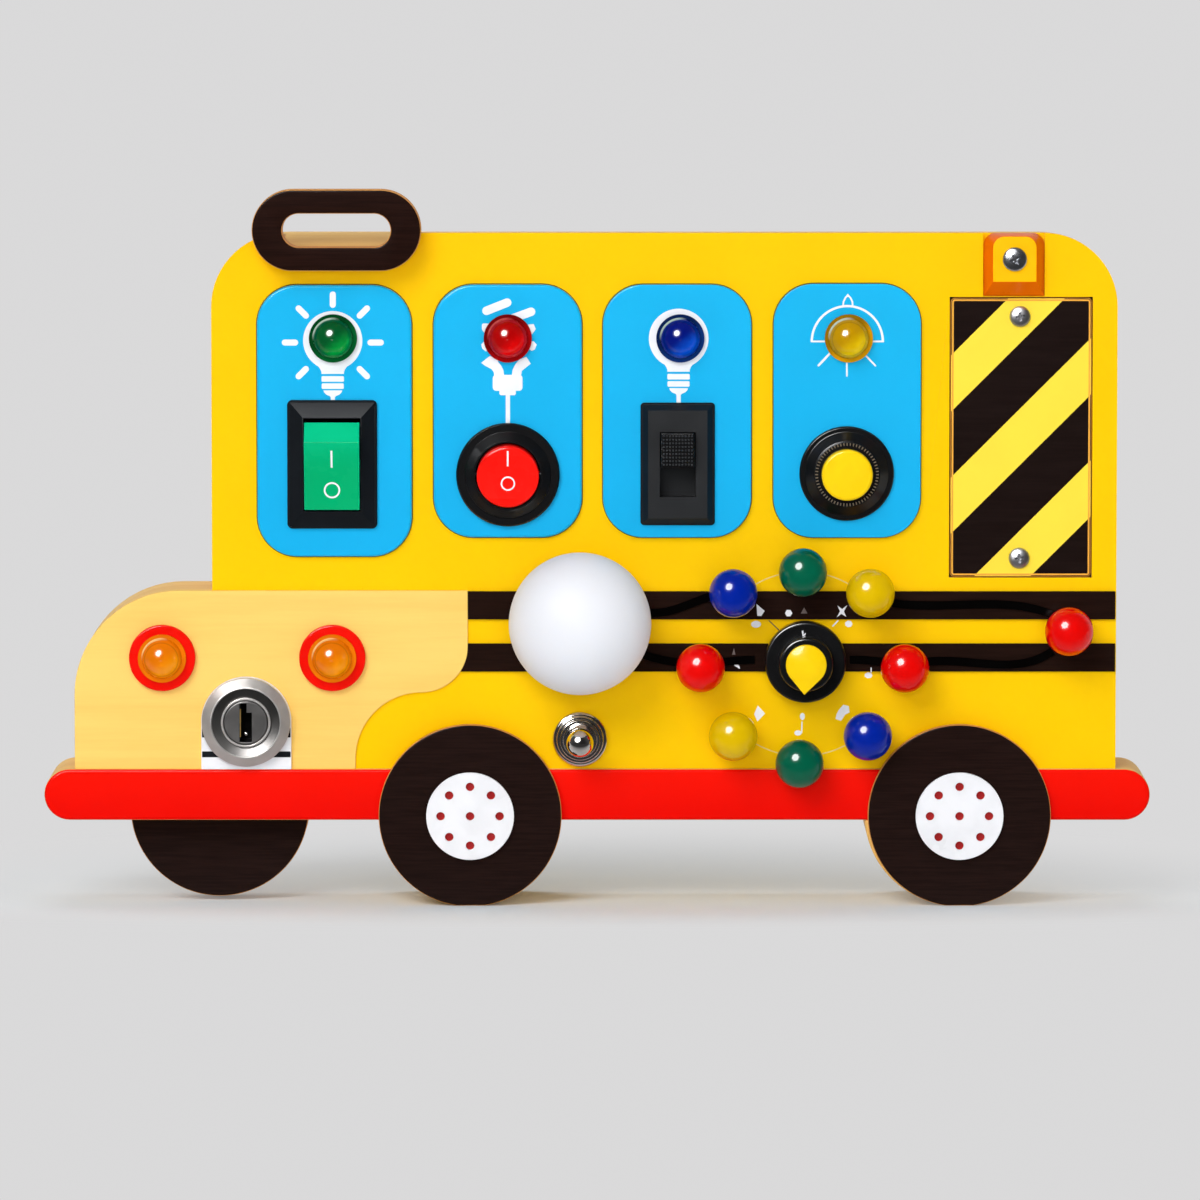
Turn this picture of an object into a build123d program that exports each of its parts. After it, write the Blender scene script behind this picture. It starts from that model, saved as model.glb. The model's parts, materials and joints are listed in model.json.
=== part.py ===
from build123d import *
from math import asin, cos, degrees, pi, radians, sin, sqrt
import os

# Wooden busy board in the shape of a bus: a wooden box carries lamps and
# switches on its painted front panel. Millimetres, +Z up, front towards -Y.
# The origin is at the middle of the footprint, on the ground.

os.makedirs("parts", exist_ok=True)

# ---------------------------------------------------------------- clearances
running_gap = 0.05      # radial gap of a turning or sliding fit
hole_gap = 0.15         # radial gap round a piece that passes through a hole
seat_gap = 0.1          # gap between pieces of one body that stand side by side

# ------------------------------------------------------------ box and panels
panel_thickness = 3.0
frame_thickness = 24.0
back_thickness = 3.0
panel_left = -104.3
panel_right = 140.7
panel_corner = 20.0
panel_height = 145.4
rail_inset = 1.0        # frame edge behind the panel edge
wall = 5.0              # side walls of the frame
top_rail = 10.0
bottom_rail = 3.3
corner_block = 11.0     # square blocks that take the back screws
cavity_corner = 2.0

hood_left = -141.7
hood_right = -35.0
hood_rise = 48.5        # hood top above the panel's bottom
hood_corner = 28.5
hood_proud = 0.8
bulge_radius = 12.5     # rounded lower right corner of the hood
bulge_drop = 15.2       # its centre below the hood top
arch_radius = 18.0      # wheel arch below it

bumper_length = 300.0
bumper_height = 13.9
bumper_proud = 2.0

# -------------------------------------------------------------------- wheels
wheel_radius = 24.8
wheel_flat = 0.3        # how much the ground flat cuts off the wheel
wheel_thickness = 3.0
wheel_xs = {"wheel_left": -34.4, "wheel_right": 98.2}
foot_shift = {"wheel_left": 0.0, "wheel_right": -0.9}
foot_trim = 0.1         # foot blocks are this much smaller than the discs
bumper_bottom = 23.0
hub_radius = 11.9
hub_thickness = 1.2
hub_backing_radius = 10.9
hub_backing_thickness = 1.0
hub_hole_radius = 1.15
hub_hole_circle = 8.0
hub_hole_count = 8
half_wheel_x = -102.8
half_wheel_z = 25.4
half_wheel_radius = 24.3
half_wheel_thickness = 12.0
half_wheel_setback = 8.0

# ------------------------------------------------------- windows and stripes
window_thickness = 1.5
window_corner = 10.8
windows = {             # left, right, bottom, top below the panel's top
    "window_rocker": (-91.9, -50.1, 94.7, 14.0),
    "window_round": (-44.2, -4.1, 99.9, 13.9),
    "window_slide": (1.6, 41.7, 99.9, 13.9),
    "window_push": (47.7, 87.5, 99.9, 13.7),
}
stripe_thickness = 0.8
stripe_width = 7.6
stripe_end = 0.3        # stripes end this far inside the panel's right edge
stripe_rise = 0.8       # lower stripe's middle above the knob's axis
stripe_pitch = 14.2

# --------------------------------------------------------------------- lamps
lamp_drop = 28.4        # window lamps below the panel's top
window_lamp_xs = {
    "lens_green": -71.3,
    "lens_red": -24.1,
    "lens_blue": 22.5,
    "lens_yellow": 68.0,
}
headlight_xs = (-117.8, -71.7)
headlight_z = 67.2
lens_flange_radius = 6.5
lens_flange_thickness = 1.2
lens_dome_radius = 5.4
lens_stem_radius = 4.0
lens_stem_reach = 8.0   # end of the stem behind the panel face
bulb_radius = 2.5
bulb_flange_radius = 3.2
bulb_flange_thickness = 1.0
lamp_nut_radius = 6.3
lamp_nut_thickness = 2.5
headlight_ring_radius = 9.0
headlight_ring_thickness = 2.0

ball_radius = 6.6
ball_stand = 9.0        # ball centre in front of the panel
ball_peg_radius = 1.6
ball_collar_radius = 1.8
ball_collar_thickness = 1.5
ring_radius = 26.6
ring_right = 0.8        # the ring's middle to the left of the knob's axis
ring_drop = 1.0         # and below it
ring_colours = ("balls_red", "balls_yellow", "balls_green", "balls_blue")
ring_strays = {         # how far the hand-set pegs stand off the even ring
    "balls_red": ((-1.0, -0.3), (1.0, -0.4)),
    "balls_yellow": ((0.0, 0.0), (-0.6, 1.2)),
    "balls_green": ((-0.8, 0.3), (0.0, -1.0)),
    "balls_blue": ((-1.2, 0.0), (0.0, 1.2)),
}
far_ball_inset = 13.2   # from the panel's right edge
far_ball_drop = 14.3    # below the battery cover

globe_x = -4.6
globe_z = 77.6
globe_radius = 19.2
globe_wall = 1.6
globe_stand = 14.0      # globe centre in front of the panel
globe_base_radius = 15.6
globe_base_thickness = 2.2
globe_neck_radius = 8.0
globe_neck_reach = 9.0
globe_spigot = 2.0

# ------------------------------------------------------------------ switches
switch_edge = 0.4       # bevel on the outer edge of the switch flanges

rocker_x = -71.6
rocker_drop = 4.5       # below the middle between its window's bottom and its lamp
rocker_bezel = (24.3, 34.8)
rocker_bezel_height = 3.5
rocker_flange_height = 1.2
rocker_corner = 1.4
rocker_slope = (22.9, 33.4)     # foot of the sloping frame
rocker_rim = (16.0, 25.8)       # its front edge round the well
rocker_body = (21.0, 29.0)
rocker_body_reach = 20.0
rocker_width = 14.9
rocker_well = (15.4, 25.2)
rocker_well_depth = 10.4
rocker_pivot_depth = 3.0
rocker_tilt = 14.0
rocker_high_ridge = (-6.2, 8.2)     # depth and height from the pivot, unturned
rocker_high_end = (-0.8, 12.2)
rocker_low_ridge = (-6.6, -10.8)
rocker_low_end = (-2.0, -11.9)
rocker_dish_rise = 5.5
rocker_keel = (3.4, 5.0)
axle_radius = 1.2
axle_length = 1.4

round_x = -24.1
round_drop = 9.9
round_bezel_radius = 14.0
round_bezel_height = 1.6
round_ring_radius = 11.7
round_rim_radius = 9.3
round_ring_height = 3.6
round_well_radius = 8.85
round_well_depth = 9.0
round_barrel_radius = 10.0
round_barrel_reach = 17.0
round_button_radius = 8.4
round_button_rise = 3.9
round_button_skirt = 1.6
round_dish_radius = 34.0
round_dish_depth = 0.5
round_edge = 0.9
round_pivot_depth = 2.0
round_tilt = 5.0

slide_x = 21.8
slide_drop = 7.0
slide_plate = (20.1, 33.2)
slide_plate_height = 1.0
slide_corner = 1.0
slide_slope = (19.0, 32.1)      # foot of the slope up to the plateau
slide_plateau = (16.0, 29.2)
slide_plateau_height = 3.0
slide_slot = (9.7, 17.6)
slide_well_depth = 6.0
slide_body = (14.6, 25.0)
slide_body_reach = 13.0
slide_knob_size = (9.0, 9.2)
slide_knob_rise = 2.6
slide_rib_count = 5
slide_rib_depth = 0.5
slide_end_gap = 0.2

push_x = 67.5
push_drop = 9.6
push_bezel_radius = 12.8
push_bezel_height = 1.2
push_slope_foot = 11.3
push_slope_radius = 8.9
push_slope_height = 3.5
push_ring_radius = 8.7
push_ring_height = 4.6
push_barrel_radius = 8.2
push_barrel_reach = 15.0
push_cap_radius = 6.9
push_cap_rise = 3.0
push_cap_skirt = 5.0    # skirt below the ring's front edge
push_cap_dome = 0.9
push_travel = 2.5
push_stem_radius = 2.0
push_stem_reach = 9.0
push_stem_clear = 1.0   # room behind the pressed stem
push_floor = 8.0        # floor of the bore behind the panel face
spring_radius = 4.4
spring_wire_radius = 0.4
spring_turns = 5.0

switch_nut_thickness = 3.0
switch_nut_margin = 3.0

toggle_x = -4.6
toggle_z = 45.0
toggle_nut_radius = 7.5
toggle_nut_thickness = 2.0
toggle_nut_edge = 0.9
toggle_ring_radius = 6.3
toggle_ring_thickness = 1.0
toggle_bushing_radius = 5.4
toggle_bushing_reach = 4.4
toggle_body = (13.0, 9.2)
toggle_body_depth = 12.0
toggle_mouth_radius = 4.6
toggle_mouth_depth = 1.2        # end of the wide mouth behind the bushing's front
toggle_bore_radius = 3.1
toggle_bore_depth = 8.0
toggle_pivot_stand = 0.2
toggle_root_radius = 1.2
toggle_neck_radius = 2.4
toggle_tip_radius = 3.7
toggle_tip_stand = 12.0

lock_x = -95.1
lock_z = 49.9
lock_flange_radius = 12.0
lock_flange_height = 4.0
lock_rim_height = 2.2           # straight side behind the sloping face
lock_rim_radius = 9.6           # front edge of the slope
lock_recess_radius = 9.3
lock_recess_depth = 0.5
lock_lip_radius = 6.7           # foot of the dish inside the recess
lock_dish_depth = 1.4
lock_barrel_radius = 7.5
lock_barrel_reach = 20.0
lock_plug_radius = 6.1
lock_plug_setback = 0.6
lock_plug_bevel = 0.4
lock_plug_reach = 21.0
lock_cam = (8.0, 18.0)
lock_cam_thickness = 1.6
keyway = (3.3, 10.5)
keyway_top = (1.9, 2.5)         # its narrow upper end
keyway_depth = 9.0
lock_nut_radius = 9.2
grille_thickness = 1.5
grille_half_width = 12.2

knob_x = 56.4
knob_z = 66.4
rotary_body_radius = 12.0
rotary_body_reach = 15.0
rotary_bushing_radius = 4.2
rotary_bushing_stand = 4.6
rotary_nut_radius = 6.5
rotary_nut_thickness = 2.2
rotary_shaft_radius = 3.0
rotary_shaft_end = 13.5
knob_skirt_radius = 11.0
knob_skirt_height = 4.5
knob_grip_radius = 7.3
knob_grip_height = 7.0
knob_stand = 2.0        # underside of the skirt in front of the panel
knob_recess_radius = 8.3
knob_recess_depth = 3.4
knob_fillet = 0.8
knob_cap = 2.0          # material in front of the shaft
pointer_radius = 5.5
pointer_tip = 8.1
pointer_turn = -3.5     # degrees, its tip towards the front wheel
pointer_thickness = 0.9
pointer_bevel = 0.25

# ------------------------------------------------------------------- battery
cover_size = (37.9, 75.3)
cover_wall_gap = 0.8    # between the battery tray and the right side wall
cover_latch_gap = 0.7
cover_thickness = 2.0
cover_gap = 0.4
cover_corner = 1.0
cell_radius = 7.25
cell_length = 50.5
cell_spacing = 14.8
cell_button_radius = 2.75
cell_button_length = 1.2
contact_thickness = 0.6
contact_size = 10.0
bay_margin = 0.5
tray_floor = 1.5
tray_lug = 4.5
tray_lug_thickness = 2.0
cover_screw_shift = 0.35        # screws to the left of the cover's middle
cover_screw_inset = 4.9
cover_screw_head_radius = 2.85
cover_screw_head_height = 1.6
cover_screw_radius = 1.25
cover_screw_length = 9.0

# ------------------------------------------------- handle, latch block, rest
handle_x = -70.2
handle_rise = 1.0       # its middle above the panel's top
handle_size = (45.6, 21.9)
handle_slot = (29.2, 9.0)
handle_thickness = 8.0
handle_round = 0.6
finger_bevel_depth = 13.0

latch_x = 112.6
latch_base = (16.4, 17.0)
latch_corner = 3.3      # both rounded top corners
latch_recess = 1.0      # its foot sits this deep in the panel
latch_front = (11.8, 12.3)
latch_front_drop = 0.7
latch_front_corner = 3.1
latch_height = 5.0
latch_screw_z_drop = 6.9
latch_screw_head_radius = 3.35
latch_screw_head_height = 1.6
latch_screw_radius = 1.5
latch_screw_length = 15.0

back_screw_radius = 1.4
back_screw_head_radius = 2.8
back_screw_length = 14.0
back_screw_point = 1.0
back_screw_top_xs = (-75.0, 25.0, 118.0)
middle_block_x = 20.0

board_thickness = 1.6
board_left = -44.0
board_right = 34.0
board_bottom = 56.0
board_top = 94.0
board_standoff = 3.4
standoff_radius = 2.0
chip_size = (14.0, 8.0, 2.0)

# Routes of the flat black lamp lead, in front-view X and Z. Each run lies in
# a groove of the same outline and ends in the board behind a lamp.
lead_width = 2.1
lead_proud = 0.5        # in front of the stripes
lead_groove_depth = 0.6
lead_routes = {
    "globe_to_blue": ((14.0, 79.4), (22.0, 80.6), (30.0, 83.6), (36.0, 84.8)),
    "yellow_to_far": (
        (76.0, 82.8), (88.0, 81.4), (104.0, 81.7), (118.0, 80.6), (126.5, 77.2)
    ),
    "far_to_red": (
        (123.5, 69.0), (117.0, 66.0), (101.0, 65.9), (88.0, 65.8)
    ),
    "red_to_knob": ((79.4, 65.6), (74.0, 66.4), (68.5, 66.6)),
    "knob_to_red": ((42.7, 66.6), (38.0, 66.4), (32.0, 65.6)),
    "red_to_globe": ((26.3, 65.8), (20.0, 66.2), (12.0, 68.2)),
}

# ------------------------------------------------------------ derived places
box_depth = panel_thickness + frame_thickness + back_thickness
front_reach = globe_stand + globe_radius
face_y = (front_reach - box_depth) / 2
panel_bottom = bumper_bottom + bumper_height
panel_top = panel_bottom + panel_height
lamp_z = panel_top - lamp_drop
rocker_z = (windows["window_rocker"][2] + lamp_z) / 2 - rocker_drop
round_z = (windows["window_round"][2] + lamp_z) / 2 - round_drop
slide_z = (windows["window_slide"][2] + lamp_z) / 2 - slide_drop
push_z = (windows["window_push"][2] + lamp_z) / 2 - push_drop
handle_z = panel_top + handle_rise
latch_z = panel_top - latch_base[1] / 2
cover_z = panel_top - latch_base[1] - cover_latch_gap - cover_size[1] / 2
tray_half_width = cover_size[0] / 2 + cover_gap - seat_gap
cover_x = panel_right - rail_inset - wall - cover_wall_gap - tray_half_width
cover_screw_x = cover_x - cover_screw_shift
lower_stripe_z = knob_z + stripe_rise
upper_stripe_z = lower_stripe_z + stripe_pitch
stripe_right = panel_right - stripe_end
hood_top = panel_bottom + hood_rise
rail_top = panel_top - rail_inset
cavity_top = rail_top - top_rail
cavity_bottom = panel_bottom + bottom_rail
cavity_left = panel_left + rail_inset + wall
cavity_right = panel_right - rail_inset - wall
hood_cavity_left = hood_left + wall
bulge_x = hood_right - bulge_radius
bulge_z = hood_top - bulge_drop
arch_z = bulge_z - bulge_radius - arch_radius
wheel_z = wheel_radius - wheel_flat
window_face = -window_thickness
stripe_face = -stripe_thickness
hood_face_depth = -hood_proud
grille_face = hood_face_depth - grille_thickness
frame_back = panel_thickness + frame_thickness
slot_bottom = handle_z - handle_slot[1] / 2
cover_bottom = cover_z - cover_size[1] / 2
cover_top = cover_z + cover_size[1] / 2
latch_screw_z = panel_top - latch_screw_z_drop
ring_balls = {}
for step, name in enumerate(ring_colours):
    angle = pi * step / len(ring_colours)
    across = ring_radius * cos(angle)
    up = ring_radius * sin(angle)
    ring_balls[name] = [
        (
            knob_x - ring_right + side * across + stray[0],
            knob_z - ring_drop + side * up + stray[1],
        )
        for side, stray in zip((-1, 1), ring_strays[name])
    ]
ring_balls["balls_red"].append(
    (panel_right - far_ball_inset, cover_bottom - far_ball_drop)
)
back_screw_places = [(x, rail_top - top_rail / 2) for x in back_screw_top_xs] + [
    (hood_cavity_left + corner_block / 2, cavity_bottom + corner_block / 2),
    (middle_block_x, cavity_bottom + corner_block / 2),
    (cavity_right - corner_block / 2, cavity_bottom + corner_block / 2),
]


# ------------------------------------------------------------------- helpers
def at_depth(depth):
    """Front-view plane (X, Z) at a depth behind the panel face, facing -Y."""
    return Plane(origin=(0, face_y + depth, 0), x_dir=(1, 0, 0), z_dir=(0, -1, 0))


def section_at(x, z):
    """Plane through an axis along Y; sketch X is the radius, sketch Y the depth."""
    return Plane(origin=(x, face_y, z), x_dir=(1, 0, 0), z_dir=(0, 0, 1))


def axis_at(x, z):
    """Axis along Y through a front-view point."""
    return Axis((x, face_y, z), (0, 1, 0))


def tilted(x, z, depth, tilt):
    """Front-view plane at a pivot, with its top tipped towards the viewer."""
    out = (0, -cos(radians(tilt)), -sin(radians(tilt)))
    return Plane(origin=(x, face_y + depth, z), x_dir=(1, 0, 0), z_dir=out)


def tilted_side(x, z, depth, tilt):
    """Side-view plane at a pivot; sketch X points inwards, sketch Y up the face."""
    inwards = (0, cos(radians(tilt)), sin(radians(tilt)))
    return Plane(origin=(x, face_y + depth, z), x_dir=inwards, z_dir=(1, 0, 0))


def disc(x, z, radius, back, front, mode=Mode.ADD):
    """Round slab from one depth to another in the open part."""
    with BuildSketch(at_depth(back)) as outline:
        with Locations((x, z)):
            Circle(radius)
    extrude(outline.sketch, amount=back - front, mode=mode)


def slab(x, z, size, back, front, mode=Mode.ADD):
    """Rectangular slab from one depth to another in the open part."""
    with BuildSketch(at_depth(back)) as outline:
        with Locations((x, z)):
            Rectangle(*size)
    extrude(outline.sketch, amount=back - front, mode=mode)


def draw_hood():
    """Closed outline of the hood face in the open sketch."""
    with BuildLine() as outline:
        Line((hood_left, panel_bottom), (hood_left, hood_top - hood_corner))
        CenterArc((hood_left + hood_corner, hood_top - hood_corner), hood_corner, 90, 90)
        Line((hood_left + hood_corner, hood_top), (hood_right, hood_top))
        Line((hood_right, hood_top), (hood_right, bulge_z))
        CenterArc((bulge_x, bulge_z), bulge_radius, -90, 90)
        CenterArc((bulge_x, arch_z), arch_radius, 90, 90)
        Line((bulge_x - arch_radius, arch_z), (bulge_x - arch_radius, panel_bottom))
        Line((bulge_x - arch_radius, panel_bottom), (hood_left, panel_bottom))
    make_face(outline.edges())


def draw_bus(left, right, bottom, top, radius, sketch):
    """Rectangle with rounded top corners in the open, still empty sketch."""
    with Locations(((left + right) / 2, (bottom + top) / 2)):
        Rectangle(right - left, top - bottom)
    fillet(sketch.vertices().group_by(Axis.Y)[-1], radius)


def draw_left_step(left, top, bottom, corner):
    """Block left of the bus rectangle with a rounded top left corner."""
    right = panel_left + 2 * wall
    with BuildLine() as outline:
        Line((left, bottom), (left, top - corner))
        CenterArc((left + corner, top - corner), corner, 90, 90)
        Polyline((left + corner, top), (right, top), (right, bottom), (left, bottom))
    make_face(outline.edges())


def panel_through_holes():
    """Holes through windows, stripes and front panel, in the open sketch."""
    with Locations((rocker_x, rocker_z)):
        Rectangle(rocker_body[0] + 2 * hole_gap, rocker_body[1] + 2 * hole_gap)
    with Locations((slide_x, slide_z)):
        Rectangle(slide_body[0] + 2 * hole_gap, slide_body[1] + 2 * hole_gap)
    for x, z, radius in (
        (round_x, round_z, round_barrel_radius),
        (push_x, push_z, push_barrel_radius),
        (toggle_x, toggle_z, toggle_bushing_radius),
        (knob_x, knob_z, rotary_bushing_radius),
        (globe_x, globe_z, globe_neck_radius),
    ):
        with Locations((x, z)):
            Circle(radius + hole_gap)
    for x in window_lamp_xs.values():
        with Locations((x, lamp_z)):
            Circle(lens_stem_radius + hole_gap)
    for place in [p for places in ring_balls.values() for p in places]:
        with Locations(place):
            Circle(ball_peg_radius + hole_gap)


def draw_leads(width):
    """All runs of the lamp lead, as bands of one width, in the open sketch."""
    for route in lead_routes.values():
        with BuildLine() as path:
            Spline(*route)
        trace(path.line, line_width=width)


def ring_nut(x, z, outer, inner, thickness):
    """Hexagon nut against the back of the front panel, in the open part."""
    with BuildSketch(at_depth(panel_thickness + thickness)) as outline:
        with Locations((x, z)):
            RegularPolygon(outer, 6)
            Circle(inner + running_gap, mode=Mode.SUBTRACT)
    extrude(outline.sketch, amount=thickness)


def flange(x, z, size, corner, height, body):
    """Rounded plate on a window with a bevelled front edge; starts the open part."""
    with BuildSketch(at_depth(window_face)) as outline:
        with Locations((x, z)):
            RectangleRounded(*size, corner)
    extrude(outline.sketch, amount=height)
    chamfer(body.faces().sort_by(Axis.Y)[0].edges(), switch_edge)


def turned(x, z, profile):
    """Round piece from (radius, depth) points, closed along its axis."""
    with BuildSketch(section_at(x, z)) as half_section:
        with BuildLine() as outline:
            Polyline((0, profile[0][1]), *profile, (0, profile[-1][1]), close=True)
        make_face(outline.edges())
    revolve(half_section.sketch, axis=axis_at(x, z))


def finish_part(part, name):
    """Label a piece and write it."""
    part.label = name
    export_step(part, f"parts/{name}.step")


# ------------------------------------------------------------ wooden housing
with BuildPart() as box_frame:
    with BuildSketch(at_depth(frame_back)) as frame_outline:
        draw_bus(
            panel_left + rail_inset, panel_right - rail_inset, panel_bottom, rail_top,
            panel_corner - rail_inset, frame_outline,
        )
        draw_left_step(hood_left, hood_top, panel_bottom, hood_corner)
    extrude(amount=frame_thickness)
    with BuildSketch(at_depth(frame_back)) as cavity:
        draw_bus(
            cavity_left, cavity_right, cavity_bottom, cavity_top, cavity_corner, cavity,
        )
        draw_left_step(
            hood_cavity_left, hood_top - wall, cavity_bottom, hood_corner - wall
        )
        for x, z in back_screw_places[len(back_screw_top_xs):]:
            with Locations((x, z)):
                Rectangle(corner_block, corner_block, mode=Mode.SUBTRACT)
    extrude(amount=frame_thickness, mode=Mode.SUBTRACT)
    # Finger bevel in the top rail behind the handle's slot.
    with BuildSketch(Plane.YZ.offset(handle_x)):
        with BuildLine():
            Polyline(
                (face_y + panel_thickness, slot_bottom),
                (face_y + panel_thickness + finger_bevel_depth, rail_top),
                (face_y + panel_thickness, rail_top),
                close=True,
            )
        make_face()
    extrude(amount=handle_slot[0] / 2, both=True, mode=Mode.SUBTRACT)
    for x, z in back_screw_places:
        disc(
            x, z, back_screw_radius, frame_back,
            frame_back + back_thickness - back_screw_length, Mode.SUBTRACT,
        )
    disc(
        latch_x, latch_screw_z, latch_screw_radius, latch_screw_length - latch_height,
        panel_thickness, Mode.SUBTRACT,
    )
finish_part(box_frame.part, "box_frame")

with BuildPart() as back_panel:
    with BuildSketch(at_depth(box_depth)) as back_outline:
        draw_bus(
            panel_left + rail_inset, panel_right - rail_inset, panel_bottom, rail_top,
            panel_corner - rail_inset, back_outline,
        )
        draw_left_step(hood_left, hood_top, panel_bottom, hood_corner)
    extrude(amount=back_thickness)
    for x, z in back_screw_places:
        with Locations(Plane(origin=(x, face_y + box_depth, z), z_dir=(0, 1, 0))):
            CounterSinkHole(
                back_screw_radius, back_screw_head_radius, depth=back_thickness
            )
finish_part(back_panel.part, "back_panel")

with BuildPart() as back_screws:
    for x, z in back_screw_places:
        head_taper = back_screw_head_radius - back_screw_radius
        point_depth = box_depth - back_screw_length
        with BuildSketch(section_at(x, z)):
            with BuildLine():
                Polyline(
                    (0, box_depth),
                    (back_screw_head_radius - seat_gap, box_depth),
                    (back_screw_radius - seat_gap, box_depth - head_taper),
                    (back_screw_radius - seat_gap, point_depth + back_screw_point),
                    (0, point_depth),
                    close=True,
                )
            make_face()
        revolve(axis=axis_at(x, z))
finish_part(back_screws.part, "back_screws")

with BuildPart() as front_panel:
    with BuildSketch(at_depth(panel_thickness)) as panel_outline:
        draw_bus(
            panel_left, panel_right, panel_bottom, panel_top, panel_corner, panel_outline
        )
    extrude(amount=panel_thickness)
    with BuildSketch(at_depth(panel_thickness)):
        draw_hood()
        panel_through_holes()
        with Locations((cover_x, cover_z)):
            Rectangle(cover_size[0] + 2 * cover_gap, cover_size[1] + 2 * cover_gap)
        with Locations((latch_x, latch_screw_z)):
            Circle(latch_screw_radius + hole_gap)
        with Locations((handle_x, slot_bottom + handle_slot[1] / 2)):
            Rectangle(*handle_slot)
    extrude(amount=panel_thickness, mode=Mode.SUBTRACT)
    slab(
        latch_x, latch_z, (latch_base[0] + 2 * seat_gap, latch_base[1] + 2 * seat_gap),
        latch_recess, 0, Mode.SUBTRACT,
    )
finish_part(front_panel.part, "front_panel")

with BuildPart() as hood_face:
    with BuildSketch(at_depth(panel_thickness)):
        draw_hood()
        for x in headlight_xs:
            with Locations((x, headlight_z)):
                Circle(lens_stem_radius + hole_gap, mode=Mode.SUBTRACT)
        with Locations((lock_x, lock_z)):
            Circle(lock_barrel_radius + hole_gap, mode=Mode.SUBTRACT)
    extrude(amount=panel_thickness + hood_proud)
finish_part(hood_face.part, "hood_face")

with BuildPart() as bumper:
    with BuildSketch(at_depth(box_depth)):
        with Locations((0, bumper_bottom + bumper_height / 2)):
            SlotOverall(bumper_length, bumper_height)
    extrude(amount=box_depth + bumper_proud)
finish_part(bumper.part, "bumper")

# -------------------------------------------------------------------- wheels
wheel_back = -bumper_proud
wheel_front = wheel_back - wheel_thickness


def ground_cut():
    """Cut everything below the ground from the open part."""
    reach = 4 * wheel_radius
    with Locations((0, 0, 0)):
        Box(
            2 * bumper_length, 4 * reach, reach,
            align=(Align.CENTER, Align.CENTER, Align.MAX), mode=Mode.SUBTRACT,
        )


for name, x in wheel_xs.items():
    with BuildPart() as wheel:
        disc(x, wheel_z, wheel_radius, wheel_back, wheel_front)
        disc(
            x, wheel_z, hub_backing_radius + seat_gap,
            wheel_front + hub_backing_thickness, wheel_front, Mode.SUBTRACT,
        )
        ground_cut()
    finish_part(wheel.part, name)

with BuildPart() as foot_blocks:
    for name, x in wheel_xs.items():
        with BuildSketch(at_depth(box_depth)):
            with Locations((x + foot_shift[name], wheel_z)):
                Circle(wheel_radius - foot_trim)
            with Locations((x, bumper_bottom)):
                Rectangle(
                    4 * wheel_radius, 2 * wheel_radius,
                    align=(Align.CENTER, Align.MIN), mode=Mode.SUBTRACT,
                )
        extrude(amount=box_depth + bumper_proud)
    ground_cut()
finish_part(foot_blocks.part, "foot_blocks")

with BuildPart() as half_wheel:
    with BuildSketch(at_depth(half_wheel_setback + half_wheel_thickness)):
        with Locations((half_wheel_x, half_wheel_z)):
            Circle(half_wheel_radius)
        with Locations((half_wheel_x, bumper_bottom)):
            Rectangle(
                4 * half_wheel_radius, 2 * half_wheel_radius,
                align=(Align.CENTER, Align.MIN), mode=Mode.SUBTRACT,
            )
    extrude(amount=half_wheel_thickness)
finish_part(half_wheel.part, "half_wheel")

with BuildPart() as hub_backings:
    for x in wheel_xs.values():
        disc(
            x, wheel_z, hub_backing_radius, wheel_front + hub_backing_thickness,
            wheel_front,
        )
finish_part(hub_backings.part, "hub_backings")

with BuildPart() as hub_caps:
    for x in wheel_xs.values():
        with BuildSketch(at_depth(wheel_front)):
            with Locations((x, wheel_z)):
                Circle(hub_radius)
                Circle(hub_hole_radius, mode=Mode.SUBTRACT)
                with PolarLocations(hub_hole_circle, hub_hole_count):
                    Circle(hub_hole_radius, mode=Mode.SUBTRACT)
        extrude(amount=hub_thickness)
finish_part(hub_caps.part, "hub_caps")

# ------------------------------------------------------- windows and stripes
for name, (left, right, bottom, top_drop) in windows.items():
    with BuildPart() as window:
        top = panel_top - top_drop
        with BuildSketch(at_depth(0)):
            with Locations(((left + right) / 2, (bottom + top) / 2)):
                RectangleRounded(right - left, top - bottom, window_corner)
        extrude(amount=window_thickness)
        with BuildSketch(at_depth(0)):
            panel_through_holes()
        extrude(amount=window_thickness, mode=Mode.SUBTRACT)
    finish_part(window.part, name)

with BuildPart() as side_stripes:
    for z in (upper_stripe_z, lower_stripe_z):
        with BuildSketch(at_depth(0)):
            with Locations(((bulge_x + stripe_right) / 2, z)):
                Rectangle(stripe_right - bulge_x, stripe_width)
        extrude(amount=stripe_thickness)
    with BuildSketch(at_depth(0)):
        draw_hood()
        panel_through_holes()
        with Locations((globe_x, globe_z)):
            Circle(globe_base_radius + seat_gap)
        for place in [p for places in ring_balls.values() for p in places]:
            with Locations(place):
                Circle(ball_collar_radius + seat_gap)
        with Locations((cover_x, cover_z)):
            Rectangle(cover_size[0] + 2 * cover_gap, cover_size[1] + 2 * cover_gap)
    extrude(amount=stripe_thickness, mode=Mode.SUBTRACT)
    with BuildSketch(at_depth(stripe_face + lead_groove_depth)):
        draw_leads(lead_width + 2 * seat_gap)
    extrude(amount=lead_groove_depth, mode=Mode.SUBTRACT)
finish_part(side_stripes.part, "side_stripes")

with BuildPart() as lamp_lead:
    with BuildSketch(at_depth(stripe_face + lead_groove_depth)):
        draw_leads(lead_width)
        for place in [p for places in ring_balls.values() for p in places]:
            with Locations(place):
                Circle(ball_collar_radius + seat_gap, mode=Mode.SUBTRACT)
        with Locations((cover_x, cover_z)):
            Rectangle(*cover_size, mode=Mode.SUBTRACT)
    extrude(amount=lead_groove_depth + lead_proud)
finish_part(lamp_lead.part, "lamp_lead")


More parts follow.
